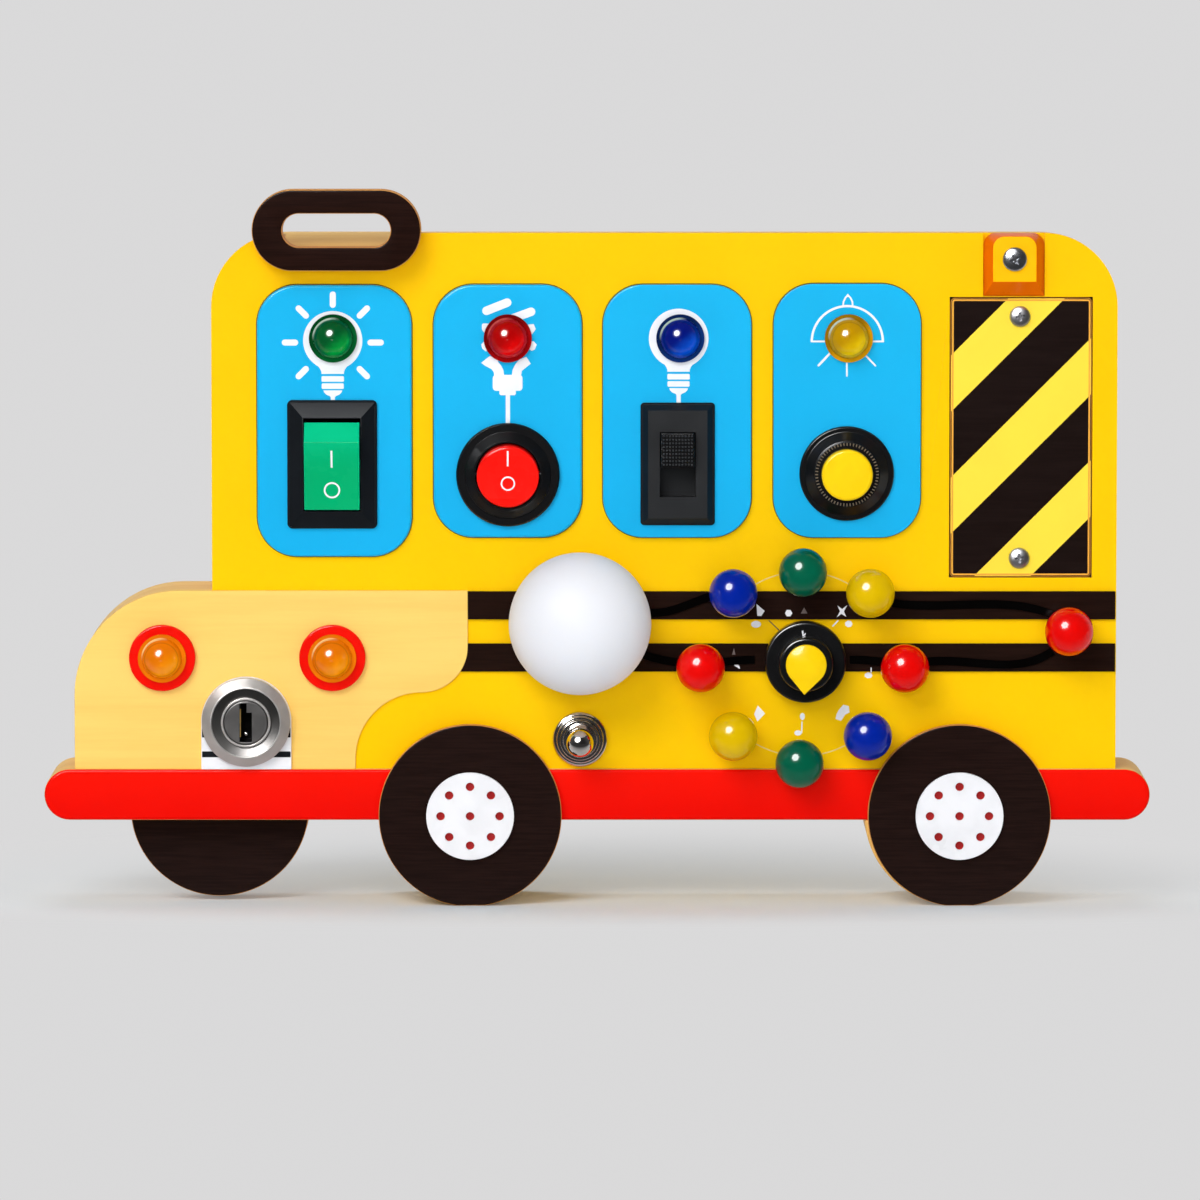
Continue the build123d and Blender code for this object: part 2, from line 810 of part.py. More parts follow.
# --------------------------------------------------------------------- lamps
def lens(x, z, seat):
    """Domed lamp lens with flange and hollow stem, in the open part."""
    front = seat - lens_flange_thickness
    bore_front = front - lens_dome_radius / 2
    with BuildSketch(section_at(x, z)) as half_section:
        with BuildLine():
            CenterArc((0, front), lens_dome_radius, -90, 90)
            Polyline(
                (lens_dome_radius, front),
                (lens_flange_radius, front),
                (lens_flange_radius, seat),
                (lens_stem_radius, seat),
                (lens_stem_radius, lens_stem_reach),
                (bulb_radius + seat_gap, lens_stem_reach),
                (bulb_radius + seat_gap, bore_front),
                (0, bore_front),
                (0, front - lens_dome_radius),
            )
        make_face()
    revolve(half_section.sketch, axis=axis_at(x, z))


for name, x in window_lamp_xs.items():
    with BuildPart() as window_lens:
        lens(x, lamp_z, window_face)
    finish_part(window_lens.part, name)

headlight_seat = hood_face_depth - headlight_ring_thickness
with BuildPart() as lens_amber:
    for x in headlight_xs:
        lens(x, headlight_z, headlight_seat)
finish_part(lens_amber.part, "lens_amber")

with BuildPart() as headlight_rings:
    for x in headlight_xs:
        with BuildSketch(at_depth(hood_face_depth)):
            with Locations((x, headlight_z)):
                Circle(headlight_ring_radius)
                Circle(lens_stem_radius + hole_gap, mode=Mode.SUBTRACT)
        extrude(amount=headlight_ring_thickness)
finish_part(headlight_rings.part, "headlight_rings")

lamp_places = [(x, lamp_z, window_face) for x in window_lamp_xs.values()]
lamp_places += [(x, headlight_z, headlight_seat) for x in headlight_xs]

with BuildPart() as lamp_bulbs:
    for x, z, seat in lamp_places:
        tip = seat - lens_flange_thickness - lens_dome_radius / 2 + seat_gap
        with BuildSketch(section_at(x, z)):
            with BuildLine():
                CenterArc((0, tip + bulb_radius), bulb_radius, -90, 90)
                Polyline(
                    (bulb_radius, tip + bulb_radius),
                    (bulb_radius, lens_stem_reach),
                    (bulb_flange_radius, lens_stem_reach),
                    (bulb_flange_radius, lens_stem_reach + bulb_flange_thickness),
                    (0, lens_stem_reach + bulb_flange_thickness),
                    (0, tip),
                )
            make_face()
        revolve(axis=axis_at(x, z))
finish_part(lamp_bulbs.part, "lamp_bulbs")

for name, places in ring_balls.items():
    with BuildPart() as balls:
        for x, z in places:
            with Locations((x, face_y - ball_stand, z)):
                Sphere(ball_radius)
            disc(x, z, ball_peg_radius, panel_thickness, -ball_stand)
            disc(x, z, ball_collar_radius, 0, -ball_collar_thickness)
    finish_part(balls.part, name)

globe_rim = globe_stand - globe_base_thickness
with BuildPart() as globe:
    with Locations((globe_x, face_y - globe_stand, globe_z)):
        Sphere(globe_radius)
        Sphere(globe_radius - globe_wall, mode=Mode.SUBTRACT)
    disc(
        globe_x, globe_z, 2 * globe_radius, globe_radius, -globe_base_thickness,
        Mode.SUBTRACT,
    )
finish_part(globe.part, "globe")

with BuildPart() as globe_base:
    disc(globe_x, globe_z, globe_base_radius, 0, -globe_base_thickness)
    spigot_radius = sqrt((globe_radius - globe_wall) ** 2 - globe_rim**2) - seat_gap
    disc(
        globe_x, globe_z, spigot_radius, 0, -globe_base_thickness - globe_spigot
    )
    disc(globe_x, globe_z, globe_neck_radius, globe_neck_reach, 0)
    with Locations((globe_x, face_y - globe_base_thickness - globe_spigot, globe_z)):
        Sphere(bulb_radius)
finish_part(globe_base.part, "globe_base")

# ------------------------------------------------------------ green rocker
rocker_face = window_face - rocker_bezel_height
rocker_pivot = rocker_face + rocker_pivot_depth

with BuildPart() as rocker_housing:
    flange(
        rocker_x, rocker_z, rocker_bezel, rocker_corner, rocker_flange_height,
        rocker_housing,
    )
    with BuildSketch(at_depth(window_face - rocker_flange_height)):
        with Locations((rocker_x, rocker_z)):
            Rectangle(*rocker_slope)
    with BuildSketch(at_depth(rocker_face)):
        with Locations((rocker_x, rocker_z)):
            Rectangle(*rocker_rim)
    loft()
    slab(rocker_x, rocker_z, rocker_body, rocker_body_reach, window_face)
    slab(
        rocker_x, rocker_z, rocker_well, rocker_face + rocker_well_depth, rocker_face,
        Mode.SUBTRACT,
    )
    with BuildSketch(tilted_side(rocker_x, rocker_z, rocker_pivot, 0)):
        Circle(axle_radius + running_gap)
    extrude(
        amount=rocker_width / 2 + axle_length + seat_gap, both=True, mode=Mode.SUBTRACT
    )
finish_part(rocker_housing.part, "rocker_housing")

with BuildPart() as rocker_button:
    with BuildSketch(tilted_side(rocker_x, rocker_z, rocker_pivot, rocker_tilt)):
        with BuildLine():
            ThreePointArc(
                rocker_low_ridge, (-rocker_dish_rise, 0), rocker_high_ridge,
            )
            Polyline(
                rocker_high_ridge,
                rocker_high_end,
                rocker_keel,
                (rocker_keel[0], -rocker_keel[1]),
                rocker_low_end,
                rocker_low_ridge,
            )
        make_face()
    extrude(amount=rocker_width / 2, both=True)
    with BuildSketch(tilted_side(rocker_x, rocker_z, rocker_pivot, rocker_tilt)):
        Circle(axle_radius)
    extrude(amount=rocker_width / 2 + axle_length, both=True)
finish_part(rocker_button.part, "rocker_button")

# ------------------------------------------------------------- round rocker
round_face = window_face - round_ring_height
round_pivot = round_face + round_pivot_depth

round_step = window_face - round_bezel_height

with BuildPart() as round_housing:
    turned(
        round_x, round_z,
        (
            (round_bezel_radius, window_face),
            (round_bezel_radius, round_step + switch_edge),
            (round_bezel_radius - switch_edge, round_step),
            (round_ring_radius, round_step),
            (round_rim_radius, round_face),
        ),
    )
    disc(round_x, round_z, round_barrel_radius, round_barrel_reach, window_face)
    disc(
        round_x, round_z, round_well_radius, round_face + round_well_depth, round_face,
        Mode.SUBTRACT,
    )
    with BuildSketch(tilted_side(round_x, round_z, round_pivot, 0)):
        Circle(axle_radius + running_gap)
    extrude(
        amount=round_well_radius + axle_length / 2 + seat_gap, both=True,
        mode=Mode.SUBTRACT,
    )
finish_part(round_housing.part, "round_housing")

with BuildPart() as round_button:
    button_plane = tilted(round_x, round_z, round_pivot, round_tilt)
    with BuildSketch(button_plane.offset(-round_button_skirt)):
        Circle(round_button_radius)
    extrude(amount=round_button_skirt + round_button_rise)
    fillet(round_button.faces().sort_by(Axis.Y)[0].edges(), round_edge)
    with BuildSketch(tilted_side(round_x, round_z, round_pivot, round_tilt)):
        with Locations((round_dish_depth - round_button_rise - round_dish_radius, 0)):
            Circle(round_dish_radius)
    extrude(amount=2 * round_button_radius, both=True, mode=Mode.SUBTRACT)
    with BuildSketch(tilted_side(round_x, round_z, round_pivot, round_tilt)):
        Circle(axle_radius)
    extrude(amount=round_well_radius + axle_length / 2, both=True)
finish_part(round_button.part, "round_button")

# ------------------------------------------------------------- slide switch
slide_face = window_face - slide_plateau_height
slide_front = slide_face - slide_knob_rise
slide_knob_z = slide_z + (slide_slot[1] - slide_knob_size[1]) / 2 - slide_end_gap

with BuildPart() as slide_housing:
    flange(slide_x, slide_z, slide_plate, slide_corner, slide_plate_height, slide_housing)
    with BuildSketch(at_depth(window_face - slide_plate_height)):
        with Locations((slide_x, slide_z)):
            Rectangle(*slide_slope)
    with BuildSketch(at_depth(slide_face)):
        with Locations((slide_x, slide_z)):
            Rectangle(*slide_plateau)
    loft()
    slab(slide_x, slide_z, slide_body, slide_body_reach, window_face)
    slab(
        slide_x, slide_z, slide_slot, slide_face + slide_well_depth, slide_face,
        Mode.SUBTRACT,
    )
finish_part(slide_housing.part, "slide_housing")

with BuildPart() as slide_knob:
    slab(
        slide_x, slide_knob_z, slide_knob_size,
        slide_face + slide_well_depth - running_gap, slide_front,
    )
    pitch = slide_knob_size[1] / slide_rib_count
    with BuildSketch(at_depth(slide_front + slide_rib_depth)):
        with Locations((slide_x, slide_knob_z)):
            with GridLocations(1, pitch, 1, slide_rib_count - 1):
                Rectangle(slide_knob_size[0], pitch / 2)
    extrude(amount=slide_rib_depth, mode=Mode.SUBTRACT)
finish_part(slide_knob.part, "slide_knob")

# -------------------------------------------------------------- push button
push_ring_front = window_face - push_ring_height
push_cap_front = push_ring_front - push_cap_rise
push_skirt_end = push_ring_front + push_cap_skirt

push_step = window_face - push_bezel_height

with BuildPart() as push_housing:
    turned(
        push_x, push_z,
        (
            (push_bezel_radius, window_face),
            (push_bezel_radius, push_step + switch_edge),
            (push_bezel_radius - switch_edge, push_step),
            (push_slope_foot, push_step),
            (push_slope_radius, window_face - push_slope_height),
            (push_ring_radius, window_face - push_slope_height),
            (push_ring_radius, push_ring_front),
        ),
    )
    disc(push_x, push_z, push_barrel_radius, push_barrel_reach, window_face)
    disc(
        push_x, push_z, push_cap_radius + running_gap, push_floor, push_ring_front,
        Mode.SUBTRACT,
    )
    disc(
        push_x, push_z, push_stem_radius + running_gap,
        push_stem_reach + push_travel + push_stem_clear, push_floor, Mode.SUBTRACT,
    )
finish_part(push_housing.part, "push_housing")

with BuildPart() as push_cap:
    disc(push_x, push_z, push_cap_radius, push_skirt_end, push_cap_front)
    fillet(push_cap.faces().sort_by(Axis.Y)[0].edges(), push_cap_dome)
    disc(push_x, push_z, push_stem_radius, push_stem_reach, push_cap_front + push_cap_dome)
finish_part(push_cap.part, "push_cap")

with BuildPart() as push_spring:
    coil_start = push_skirt_end + spring_wire_radius + seat_gap
    coil_length = push_floor - spring_wire_radius - seat_gap - coil_start
    with BuildLine(section_at(push_x, push_z)) as coil:
        Helix(
            pitch=coil_length / spring_turns, height=coil_length, radius=spring_radius,
            center=(0, coil_start, 0), direction=(0, 1, 0),
        )
    with BuildSketch(Plane(origin=coil.line @ 0, z_dir=coil.line % 0)):
        Circle(spring_wire_radius)
    sweep(path=coil.line, is_frenet=True)
finish_part(push_spring.part, "push_spring")

with BuildPart() as panel_nuts:
    for x, z, seat in lamp_places:
        ring_nut(x, z, lamp_nut_radius, lens_stem_radius, lamp_nut_thickness)
    for x, z, barrel in (
        (round_x, round_z, round_barrel_radius),
        (push_x, push_z, push_barrel_radius),
    ):
        ring_nut(x, z, barrel + switch_nut_margin, barrel, switch_nut_thickness)
    ring_nut(lock_x, lock_z, lock_nut_radius, lock_barrel_radius, switch_nut_thickness)
finish_part(panel_nuts.part, "panel_nuts")

# ------------------------------------------------------------ toggle switch
toggle_pivot = -toggle_pivot_stand

with BuildPart() as toggle_switch:
    slab(
        toggle_x, toggle_z, toggle_body, panel_thickness + toggle_body_depth,
        panel_thickness,
    )
    disc(
        toggle_x, toggle_z, toggle_bushing_radius, panel_thickness,
        -toggle_bushing_reach,
    )
    disc(
        toggle_x, toggle_z, toggle_bore_radius, toggle_bore_depth,
        -toggle_bushing_reach, Mode.SUBTRACT,
    )
    disc(
        toggle_x, toggle_z, toggle_mouth_radius, toggle_mouth_depth - toggle_bushing_reach,
        -toggle_bushing_reach, Mode.SUBTRACT,
    )
finish_part(toggle_switch.part, "toggle_switch")

with BuildPart() as toggle_nut:
    disc(toggle_x, toggle_z, toggle_nut_radius, 0, -toggle_nut_thickness)
    fillet(toggle_nut.faces().sort_by(Axis.Y)[0].edges(), toggle_nut_edge)
    disc(
        toggle_x, toggle_z, toggle_ring_radius, 0,
        -toggle_nut_thickness - toggle_ring_thickness,
    )
    disc(
        toggle_x, toggle_z, toggle_bushing_radius + running_gap, 0,
        -toggle_nut_thickness - toggle_ring_thickness, Mode.SUBTRACT,
    )
finish_part(toggle_nut.part, "toggle_nut")

with BuildPart() as toggle_lever:
    with Locations((toggle_x, face_y + toggle_pivot, toggle_z)):
        Sphere(toggle_bore_radius - running_gap)
    disc(toggle_x, toggle_z, toggle_root_radius, toggle_bore_depth / 2, toggle_pivot)
    with BuildSketch(section_at(toggle_x, toggle_z)):
        with BuildLine():
            Polyline(
                (0, toggle_pivot),
                (toggle_root_radius, toggle_pivot),
                (toggle_neck_radius, -toggle_tip_stand),
                (0, -toggle_tip_stand),
                close=True,
            )
        make_face()
    revolve(axis=axis_at(toggle_x, toggle_z))
    with Locations((toggle_x, face_y - toggle_tip_stand, toggle_z)):
        Sphere(toggle_tip_radius)
finish_part(toggle_lever.part, "toggle_lever")

# ----------------------------------------------------------------- key lock
lock_front = grille_face - lock_flange_height

with BuildPart() as grille_plate:
    with BuildSketch(at_depth(hood_face_depth)):
        with Locations((lock_x, lock_z)):
            Circle(grille_half_width)
        with Locations((lock_x, (lock_z + panel_bottom) / 2)):
            Rectangle(2 * grille_half_width, lock_z - panel_bottom)
        with Locations((lock_x, lock_z)):
            Circle(lock_barrel_radius + hole_gap, mode=Mode.SUBTRACT)
    extrude(amount=grille_thickness)
finish_part(grille_plate.part, "grille_plate")

with BuildPart() as lock_body:
    turned(
        lock_x, lock_z,
        (
            (lock_flange_radius, grille_face),
            (lock_flange_radius, grille_face - lock_rim_height),
            (lock_rim_radius, lock_front),
            (lock_recess_radius, lock_front),
            (lock_recess_radius, lock_front + lock_recess_depth),
            (lock_lip_radius, lock_front + lock_dish_depth),
            (lock_lip_radius, lock_front + lock_plug_setback),
        ),
    )
    disc(lock_x, lock_z, lock_barrel_radius, lock_barrel_reach, grille_face)
    disc(
        lock_x, lock_z, lock_plug_radius + running_gap, lock_barrel_reach, lock_front,
        Mode.SUBTRACT,
    )
finish_part(lock_body.part, "lock_body")

plug_front = lock_front + lock_plug_setback
with BuildPart() as lock_plug:
    disc(lock_x, lock_z, lock_plug_radius, lock_plug_reach, plug_front)
    chamfer(lock_plug.faces().sort_by(Axis.Y)[0].edges(), lock_plug_bevel)
    slab(
        lock_x, lock_z + lock_cam[1] / 2 - lock_cam[0] / 2, lock_cam,
        lock_plug_reach + lock_cam_thickness, lock_plug_reach,
    )
    slab(
        lock_x, lock_z - keyway_top[1] / 2, (keyway[0], keyway[1] - keyway_top[1]),
        plug_front + keyway_depth, plug_front, Mode.SUBTRACT,
    )
    slab(
        lock_x - (keyway[0] - keyway_top[0]) / 2, lock_z, (keyway_top[0], keyway[1]),
        plug_front + keyway_depth, plug_front, Mode.SUBTRACT,
    )
finish_part(lock_plug.part, "lock_plug")

# ------------------------------------------------------------ rotary switch
with BuildPart() as rotary_switch:
    disc(knob_x, knob_z, rotary_body_radius, rotary_body_reach, panel_thickness)
    disc(
        knob_x, knob_z, rotary_bushing_radius, panel_thickness, -rotary_bushing_stand
    )
    with BuildSketch(at_depth(stripe_face)):
        with Locations((knob_x, knob_z)):
            RegularPolygon(rotary_nut_radius, 6)
    extrude(amount=rotary_nut_thickness)
    disc(
        knob_x, knob_z, rotary_shaft_radius + running_gap,
        rotary_shaft_end + running_gap, -rotary_bushing_stand, Mode.SUBTRACT,
    )
finish_part(rotary_switch.part, "rotary_switch")

knob_skirt_front = -knob_stand - knob_skirt_height
knob_front = knob_skirt_front - knob_grip_height

with BuildPart() as rotary_knob:
    disc(knob_x, knob_z, knob_skirt_radius, -knob_stand, knob_skirt_front)
    fillet(rotary_knob.faces().sort_by(Axis.Y)[0].edges(), knob_fillet)
    disc(knob_x, knob_z, knob_grip_radius, -knob_stand, knob_front)
    fillet(rotary_knob.faces().sort_by(Axis.Y)[0].edges(), knob_fillet)
    disc(
        knob_x, knob_z, knob_recess_radius, -knob_stand,
        -knob_stand - knob_recess_depth, Mode.SUBTRACT,
    )
    disc(
        knob_x, knob_z, rotary_shaft_radius + running_gap / 2, -knob_stand,
        knob_front + knob_cap, Mode.SUBTRACT,
    )
finish_part(rotary_knob.part, "rotary_knob")

with BuildPart() as rotary_shaft:
    shaft_front = knob_front + knob_cap + seat_gap
    disc(knob_x, knob_z, rotary_shaft_radius, rotary_shaft_end, shaft_front)
finish_part(rotary_shaft.part, "rotary_shaft")

with BuildPart() as knob_pointer:
    # Teardrop: a circle and the two tangents from its tip.
    tangent_angle = degrees(asin(pointer_radius / pointer_tip))
    tangent_x = pointer_radius * cos(radians(tangent_angle))
    tangent_z = -pointer_radius * sin(radians(tangent_angle))
    turned_x = (cos(radians(pointer_turn)), 0, sin(radians(pointer_turn)))
    pointer_seat = (knob_x, face_y + knob_front, knob_z)
    with BuildSketch(Plane(origin=pointer_seat, x_dir=turned_x, z_dir=(0, -1, 0))):
        Circle(pointer_radius)
        with BuildLine():
            Polyline(
                (-tangent_x, tangent_z), (0, -pointer_tip), (tangent_x, tangent_z),
                close=True,
            )
        make_face()
    extrude(amount=pointer_thickness)
    chamfer(knob_pointer.faces().sort_by(Axis.Y)[0].edges(), pointer_bevel)
finish_part(knob_pointer.part, "knob_pointer")

# ------------------------------------------------------------------- battery
tray_size = (2 * tray_half_width, cover_size[1] + 2 * cover_gap - 2 * seat_gap)
bay_width = cell_spacing + 2 * cell_radius + 2 * bay_margin
bay_length = cell_length + cell_button_length + 2 * contact_thickness + bay_margin
bay_floor = cover_thickness + 2 * cell_radius + 2 * bay_margin
tray_back = bay_floor + tray_floor
cell_xs = (cover_x - cell_spacing / 2, cover_x + cell_spacing / 2)
cell_depth = cover_thickness + bay_margin + cell_radius
cover_screw_zs = (cover_bottom + cover_screw_inset, cover_top - cover_screw_inset)

with BuildPart() as battery_tray:
    slab(cover_x, cover_z, tray_size, tray_back, cover_thickness)
    slab(
        cover_x, cover_z, (tray_size[0], tray_size[1] + 2 * tray_lug),
        panel_thickness + tray_lug_thickness, panel_thickness,
    )
    slab(
        cover_x, cover_z, (bay_width, bay_length), bay_floor, cover_thickness,
        Mode.SUBTRACT,
    )
    for z in cover_screw_zs:
        disc(
            cover_screw_x, z, cover_screw_radius, cover_screw_length, cover_thickness,
            Mode.SUBTRACT,
        )
finish_part(battery_tray.part, "battery_tray")

with BuildPart() as battery_cells:
    for x, up in zip(cell_xs, (1, -1)):
        foot = cover_z - up * (cell_length + cell_button_length) / 2
        with BuildSketch(Plane.XY.offset(foot)):
            with Locations((x, face_y + cell_depth)):
                Circle(cell_radius)
        extrude(amount=up * cell_length)
        with BuildSketch(Plane.XY.offset(foot)):
            with Locations((x, face_y + cell_depth)):
                Circle(cell_button_radius)
        extrude(amount=up * (cell_length + cell_button_length))
finish_part(battery_cells.part, "battery_cells")

with BuildPart() as battery_contacts:
    for x in cell_xs:
        for side in (-1, 1):
            z = cover_z + side * (bay_length - contact_thickness) / 2
            with Locations((x, face_y + cell_depth, z)):
                Box(contact_size, contact_size, contact_thickness)
finish_part(battery_contacts.part, "battery_contacts")

with BuildPart() as battery_cover:
    with BuildSketch(at_depth(cover_thickness)):
        with Locations((cover_x, cover_z)):
            RectangleRounded(*cover_size, cover_corner)
        for z in cover_screw_zs:
            with Locations((cover_screw_x, z)):
                Circle(cover_screw_radius + hole_gap, mode=Mode.SUBTRACT)
    extrude(amount=cover_thickness)
finish_part(battery_cover.part, "battery_cover")

with BuildPart() as cover_screws:
    for z in cover_screw_zs:
        disc(cover_screw_x, z, cover_screw_head_radius, 0, -cover_screw_head_height)
    fillet(
        cover_screws.faces().group_by(Axis.Y)[0].edges(), cover_screw_head_height / 2
    )
    for z in cover_screw_zs:
        disc(
            cover_screw_x, z, cover_screw_radius - running_gap,
            cover_screw_length - seat_gap, 0,
        )
finish_part(cover_screws.part, "cover_screws")

# ---------------------------------------------------- handle and latch block
with BuildPart() as handle:
    with BuildSketch(at_depth(0)):
        with Locations((handle_x, handle_z)):
            SlotOverall(*handle_size)
            SlotOverall(*handle_slot, mode=Mode.SUBTRACT)
    extrude(amount=handle_thickness)
    fillet(handle.faces().sort_by(Axis.Y)[0].edges(), handle_round)
finish_part(handle.part, "handle")

block_front = -latch_height
front_top = panel_top - latch_front_drop
with BuildPart() as latch:
    with BuildSketch(at_depth(latch_recess)) as latch_foot:
        draw_bus(
            latch_x - latch_base[0] / 2, latch_x + latch_base[0] / 2,
            panel_top - latch_base[1], panel_top, latch_corner, latch_foot,
        )
    extrude(amount=latch_recess)
    with BuildSketch(at_depth(0)) as latch_outline:
        draw_bus(
            latch_x - latch_base[0] / 2, latch_x + latch_base[0] / 2,
            panel_top - latch_base[1], panel_top, latch_corner, latch_outline,
        )
    with BuildSketch(at_depth(block_front)) as latch_face:
        draw_bus(
            latch_x - latch_front[0] / 2, latch_x + latch_front[0] / 2,
            front_top - latch_front[1], front_top, latch_front_corner, latch_face,
        )
    loft()
    disc(
        latch_x, latch_screw_z, latch_screw_radius + hole_gap, latch_recess,
        block_front, Mode.SUBTRACT,
    )
finish_part(latch.part, "latch_block")

with BuildPart() as latch_screw:
    disc(
        latch_x, latch_screw_z, latch_screw_head_radius, block_front,
        block_front - latch_screw_head_height,
    )
    fillet(
        latch_screw.faces().sort_by(Axis.Y)[0].edges(), latch_screw_head_height / 2
    )
    disc(
        latch_x, latch_screw_z, latch_screw_radius - running_gap,
        block_front + latch_screw_length, block_front,
    )
finish_part(latch_screw.part, "latch_screw")

# ------------------------------------------------------------ control board
board_back = frame_back - board_standoff
with BuildPart() as control_board:
    board_x = (board_left + board_right) / 2
    board_z = (board_bottom + board_top) / 2
    board_size = (board_right - board_left, board_top - board_bottom)
    slab(board_x, board_z, board_size, board_back, board_back - board_thickness)
    slab(
        board_x + board_size[0] / 4, board_z, chip_size[:2],
        board_back - board_thickness, board_back - board_thickness - chip_size[2],
    )
    slab(
        board_x - board_size[0] / 4, board_z, chip_size[:2],
        board_back - board_thickness, board_back - board_thickness - chip_size[2],
    )
    inset = 2 * standoff_radius
    with BuildSketch(at_depth(frame_back)):
        with Locations((board_x, board_z)):
            with GridLocations(board_size[0] - 2 * inset, board_size[1] - 2 * inset, 2, 2):
                Circle(standoff_radius)
    extrude(amount=board_standoff)
finish_part(control_board.part, "control_board")
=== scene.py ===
"""Looks of a wooden busy board in the shape of a bus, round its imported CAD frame.

Sizes are millimetres of the front view: x to the right, z up from the ground,
and depth behind the front panel's face. Helpers turn them into metres.
"""

import json
import logging
import math
from collections.abc import Callable, Iterable, Sequence
from dataclasses import dataclass, field
from enum import Enum
from functools import lru_cache

import bmesh
import bpy
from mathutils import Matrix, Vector
from mathutils.bvhtree import BVHTree

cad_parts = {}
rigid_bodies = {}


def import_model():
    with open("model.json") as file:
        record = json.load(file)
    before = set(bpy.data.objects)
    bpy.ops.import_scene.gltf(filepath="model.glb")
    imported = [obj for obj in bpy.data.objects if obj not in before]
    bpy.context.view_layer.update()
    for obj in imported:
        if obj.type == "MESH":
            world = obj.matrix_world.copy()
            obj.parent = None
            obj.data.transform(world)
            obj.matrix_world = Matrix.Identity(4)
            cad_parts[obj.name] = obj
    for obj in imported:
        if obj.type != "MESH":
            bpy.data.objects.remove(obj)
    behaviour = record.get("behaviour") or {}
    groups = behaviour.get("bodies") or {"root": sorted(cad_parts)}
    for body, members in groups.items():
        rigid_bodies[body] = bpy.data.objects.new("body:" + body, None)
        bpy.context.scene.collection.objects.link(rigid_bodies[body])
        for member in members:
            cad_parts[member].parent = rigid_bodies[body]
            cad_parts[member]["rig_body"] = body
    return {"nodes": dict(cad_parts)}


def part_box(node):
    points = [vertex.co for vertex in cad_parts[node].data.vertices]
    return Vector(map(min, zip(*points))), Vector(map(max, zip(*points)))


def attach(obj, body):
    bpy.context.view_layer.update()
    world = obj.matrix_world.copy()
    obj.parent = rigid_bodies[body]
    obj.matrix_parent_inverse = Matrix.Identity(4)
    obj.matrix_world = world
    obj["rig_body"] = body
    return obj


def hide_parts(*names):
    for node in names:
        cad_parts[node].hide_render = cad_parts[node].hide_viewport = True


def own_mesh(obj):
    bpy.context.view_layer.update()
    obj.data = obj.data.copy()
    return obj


MM = 0.001
FACE_Y = 1.6  # the front panel's face in the row frame
ROOT = "board"
GRAIN_STRETCH = (0.05, 1.0, 1.0)  # draws noise out along x, as a board's grain runs
NOISE_LOW, NOISE_HIGH = 0.3, 0.7  # where most of a noise's values lie
WELD = 1e-7  # corners closer than this are one corner, in metres
FLAT_ANGLE = math.radians(0.4)  # faces that meet at less are one face
SHARP_ANGLE = math.radians(38)  # edges that turn by more are shaded sharp
STUD_TAPER = 0.35  # a stud's top as a share of its foot
FACING_FRONT = (math.pi / 2, 0, 0)  # turns a flat pattern up to face the front
LOCK_CENTRE = (-95.1, 49.9)

Point = tuple[float, float]
Outline = list[Point]

log = logging.getLogger("busy_board")
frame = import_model()


def place(x: float, depth: float, z: float) -> Vector:
    """Front-view millimetres as a point of the row frame, in metres."""
    return Vector((x, FACE_Y + depth, z)) * MM


def paint(red: float, green: float, blue: float) -> tuple[float, ...]:
    """A display colour as linear RGBA.

    Args:
        red: the red channel, from 0 to 255.
        green: the green channel.
        blue: the blue channel.

    Returns:
        The four channels, from 0 to 1.
    """
    shares = (red / 255, green / 255, blue / 255)
    return tuple(
        c / 12.92 if c <= 0.04045 else ((c + 0.055) / 1.055) ** 2.4 for c in shares
    ) + (1.0,)


# ------------------------------------------------------------ node trees


class Signal:
    """One socket of a node tree that Python's operators work on."""

    def __init__(self, owner: "Tree", socket: bpy.types.NodeSocket) -> None:
        """Wraps a socket.

        Args:
            owner: the tree that adds the operators' nodes.
            socket: the output socket.
        """
        self.owner = owner
        self.socket = socket

    def _math(self, operation: str, first: object, second: object) -> "Signal":
        """A Math node on two values.

        Args:
            operation: Blender's name for it.
            first: a Signal or number.
            second: a Signal or number.

        Returns:
            The result.
        """
        node = self.owner.node(
            "ShaderNodeMath", {"operation": operation}, {0: first, 1: second}
        )
        return Signal(self.owner, node.outputs[0])

    def __add__(self, other: object) -> "Signal":
        """self + other."""
        return self._math("ADD", self, other)

    def __radd__(self, other: object) -> "Signal":
        """other + self."""
        return self._math("ADD", other, self)

    def __sub__(self, other: object) -> "Signal":
        """self - other."""
        return self._math("SUBTRACT", self, other)

    def __rsub__(self, other: object) -> "Signal":
        """other - self."""
        return self._math("SUBTRACT", other, self)

    def __mul__(self, other: object) -> "Signal":
        """self * other."""
        return self._math("MULTIPLY", self, other)

    def __rmul__(self, other: object) -> "Signal":
        """other * self."""
        return self._math("MULTIPLY", other, self)

    def __truediv__(self, other: object) -> "Signal":
        """self / other."""
        return self._math("DIVIDE", self, other)

    def __rtruediv__(self, other: object) -> "Signal":
        """other / self."""
        return self._math("DIVIDE", other, self)

    def __pow__(self, other: object) -> "Signal":
        """self ** other."""
        return self._math("POWER", self, other)

    def __mod__(self, other: object) -> "Signal":
        """self % other, also where self is negative.

        Args:
            other: where the value wraps back to 0.

        Returns:
            The wrapped value.
        """
        node = self.owner.node(
            "ShaderNodeMath", {"operation": "WRAP"}, {0: self, 1: other, 2: 0.0}
        )
        return Signal(self.owner, node.outputs[0])

    def __lt__(self, other: object) -> "Signal":
        """1 where self is less than other."""
        return self._math("LESS_THAN", self, other)

    def __gt__(self, other: object) -> "Signal":
        """1 where self is greater than other."""
        return self._math("GREATER_THAN", self, other)

    def __abs__(self) -> "Signal":
        """Size without sign."""
        return self._math("ABSOLUTE", self, 0.0)


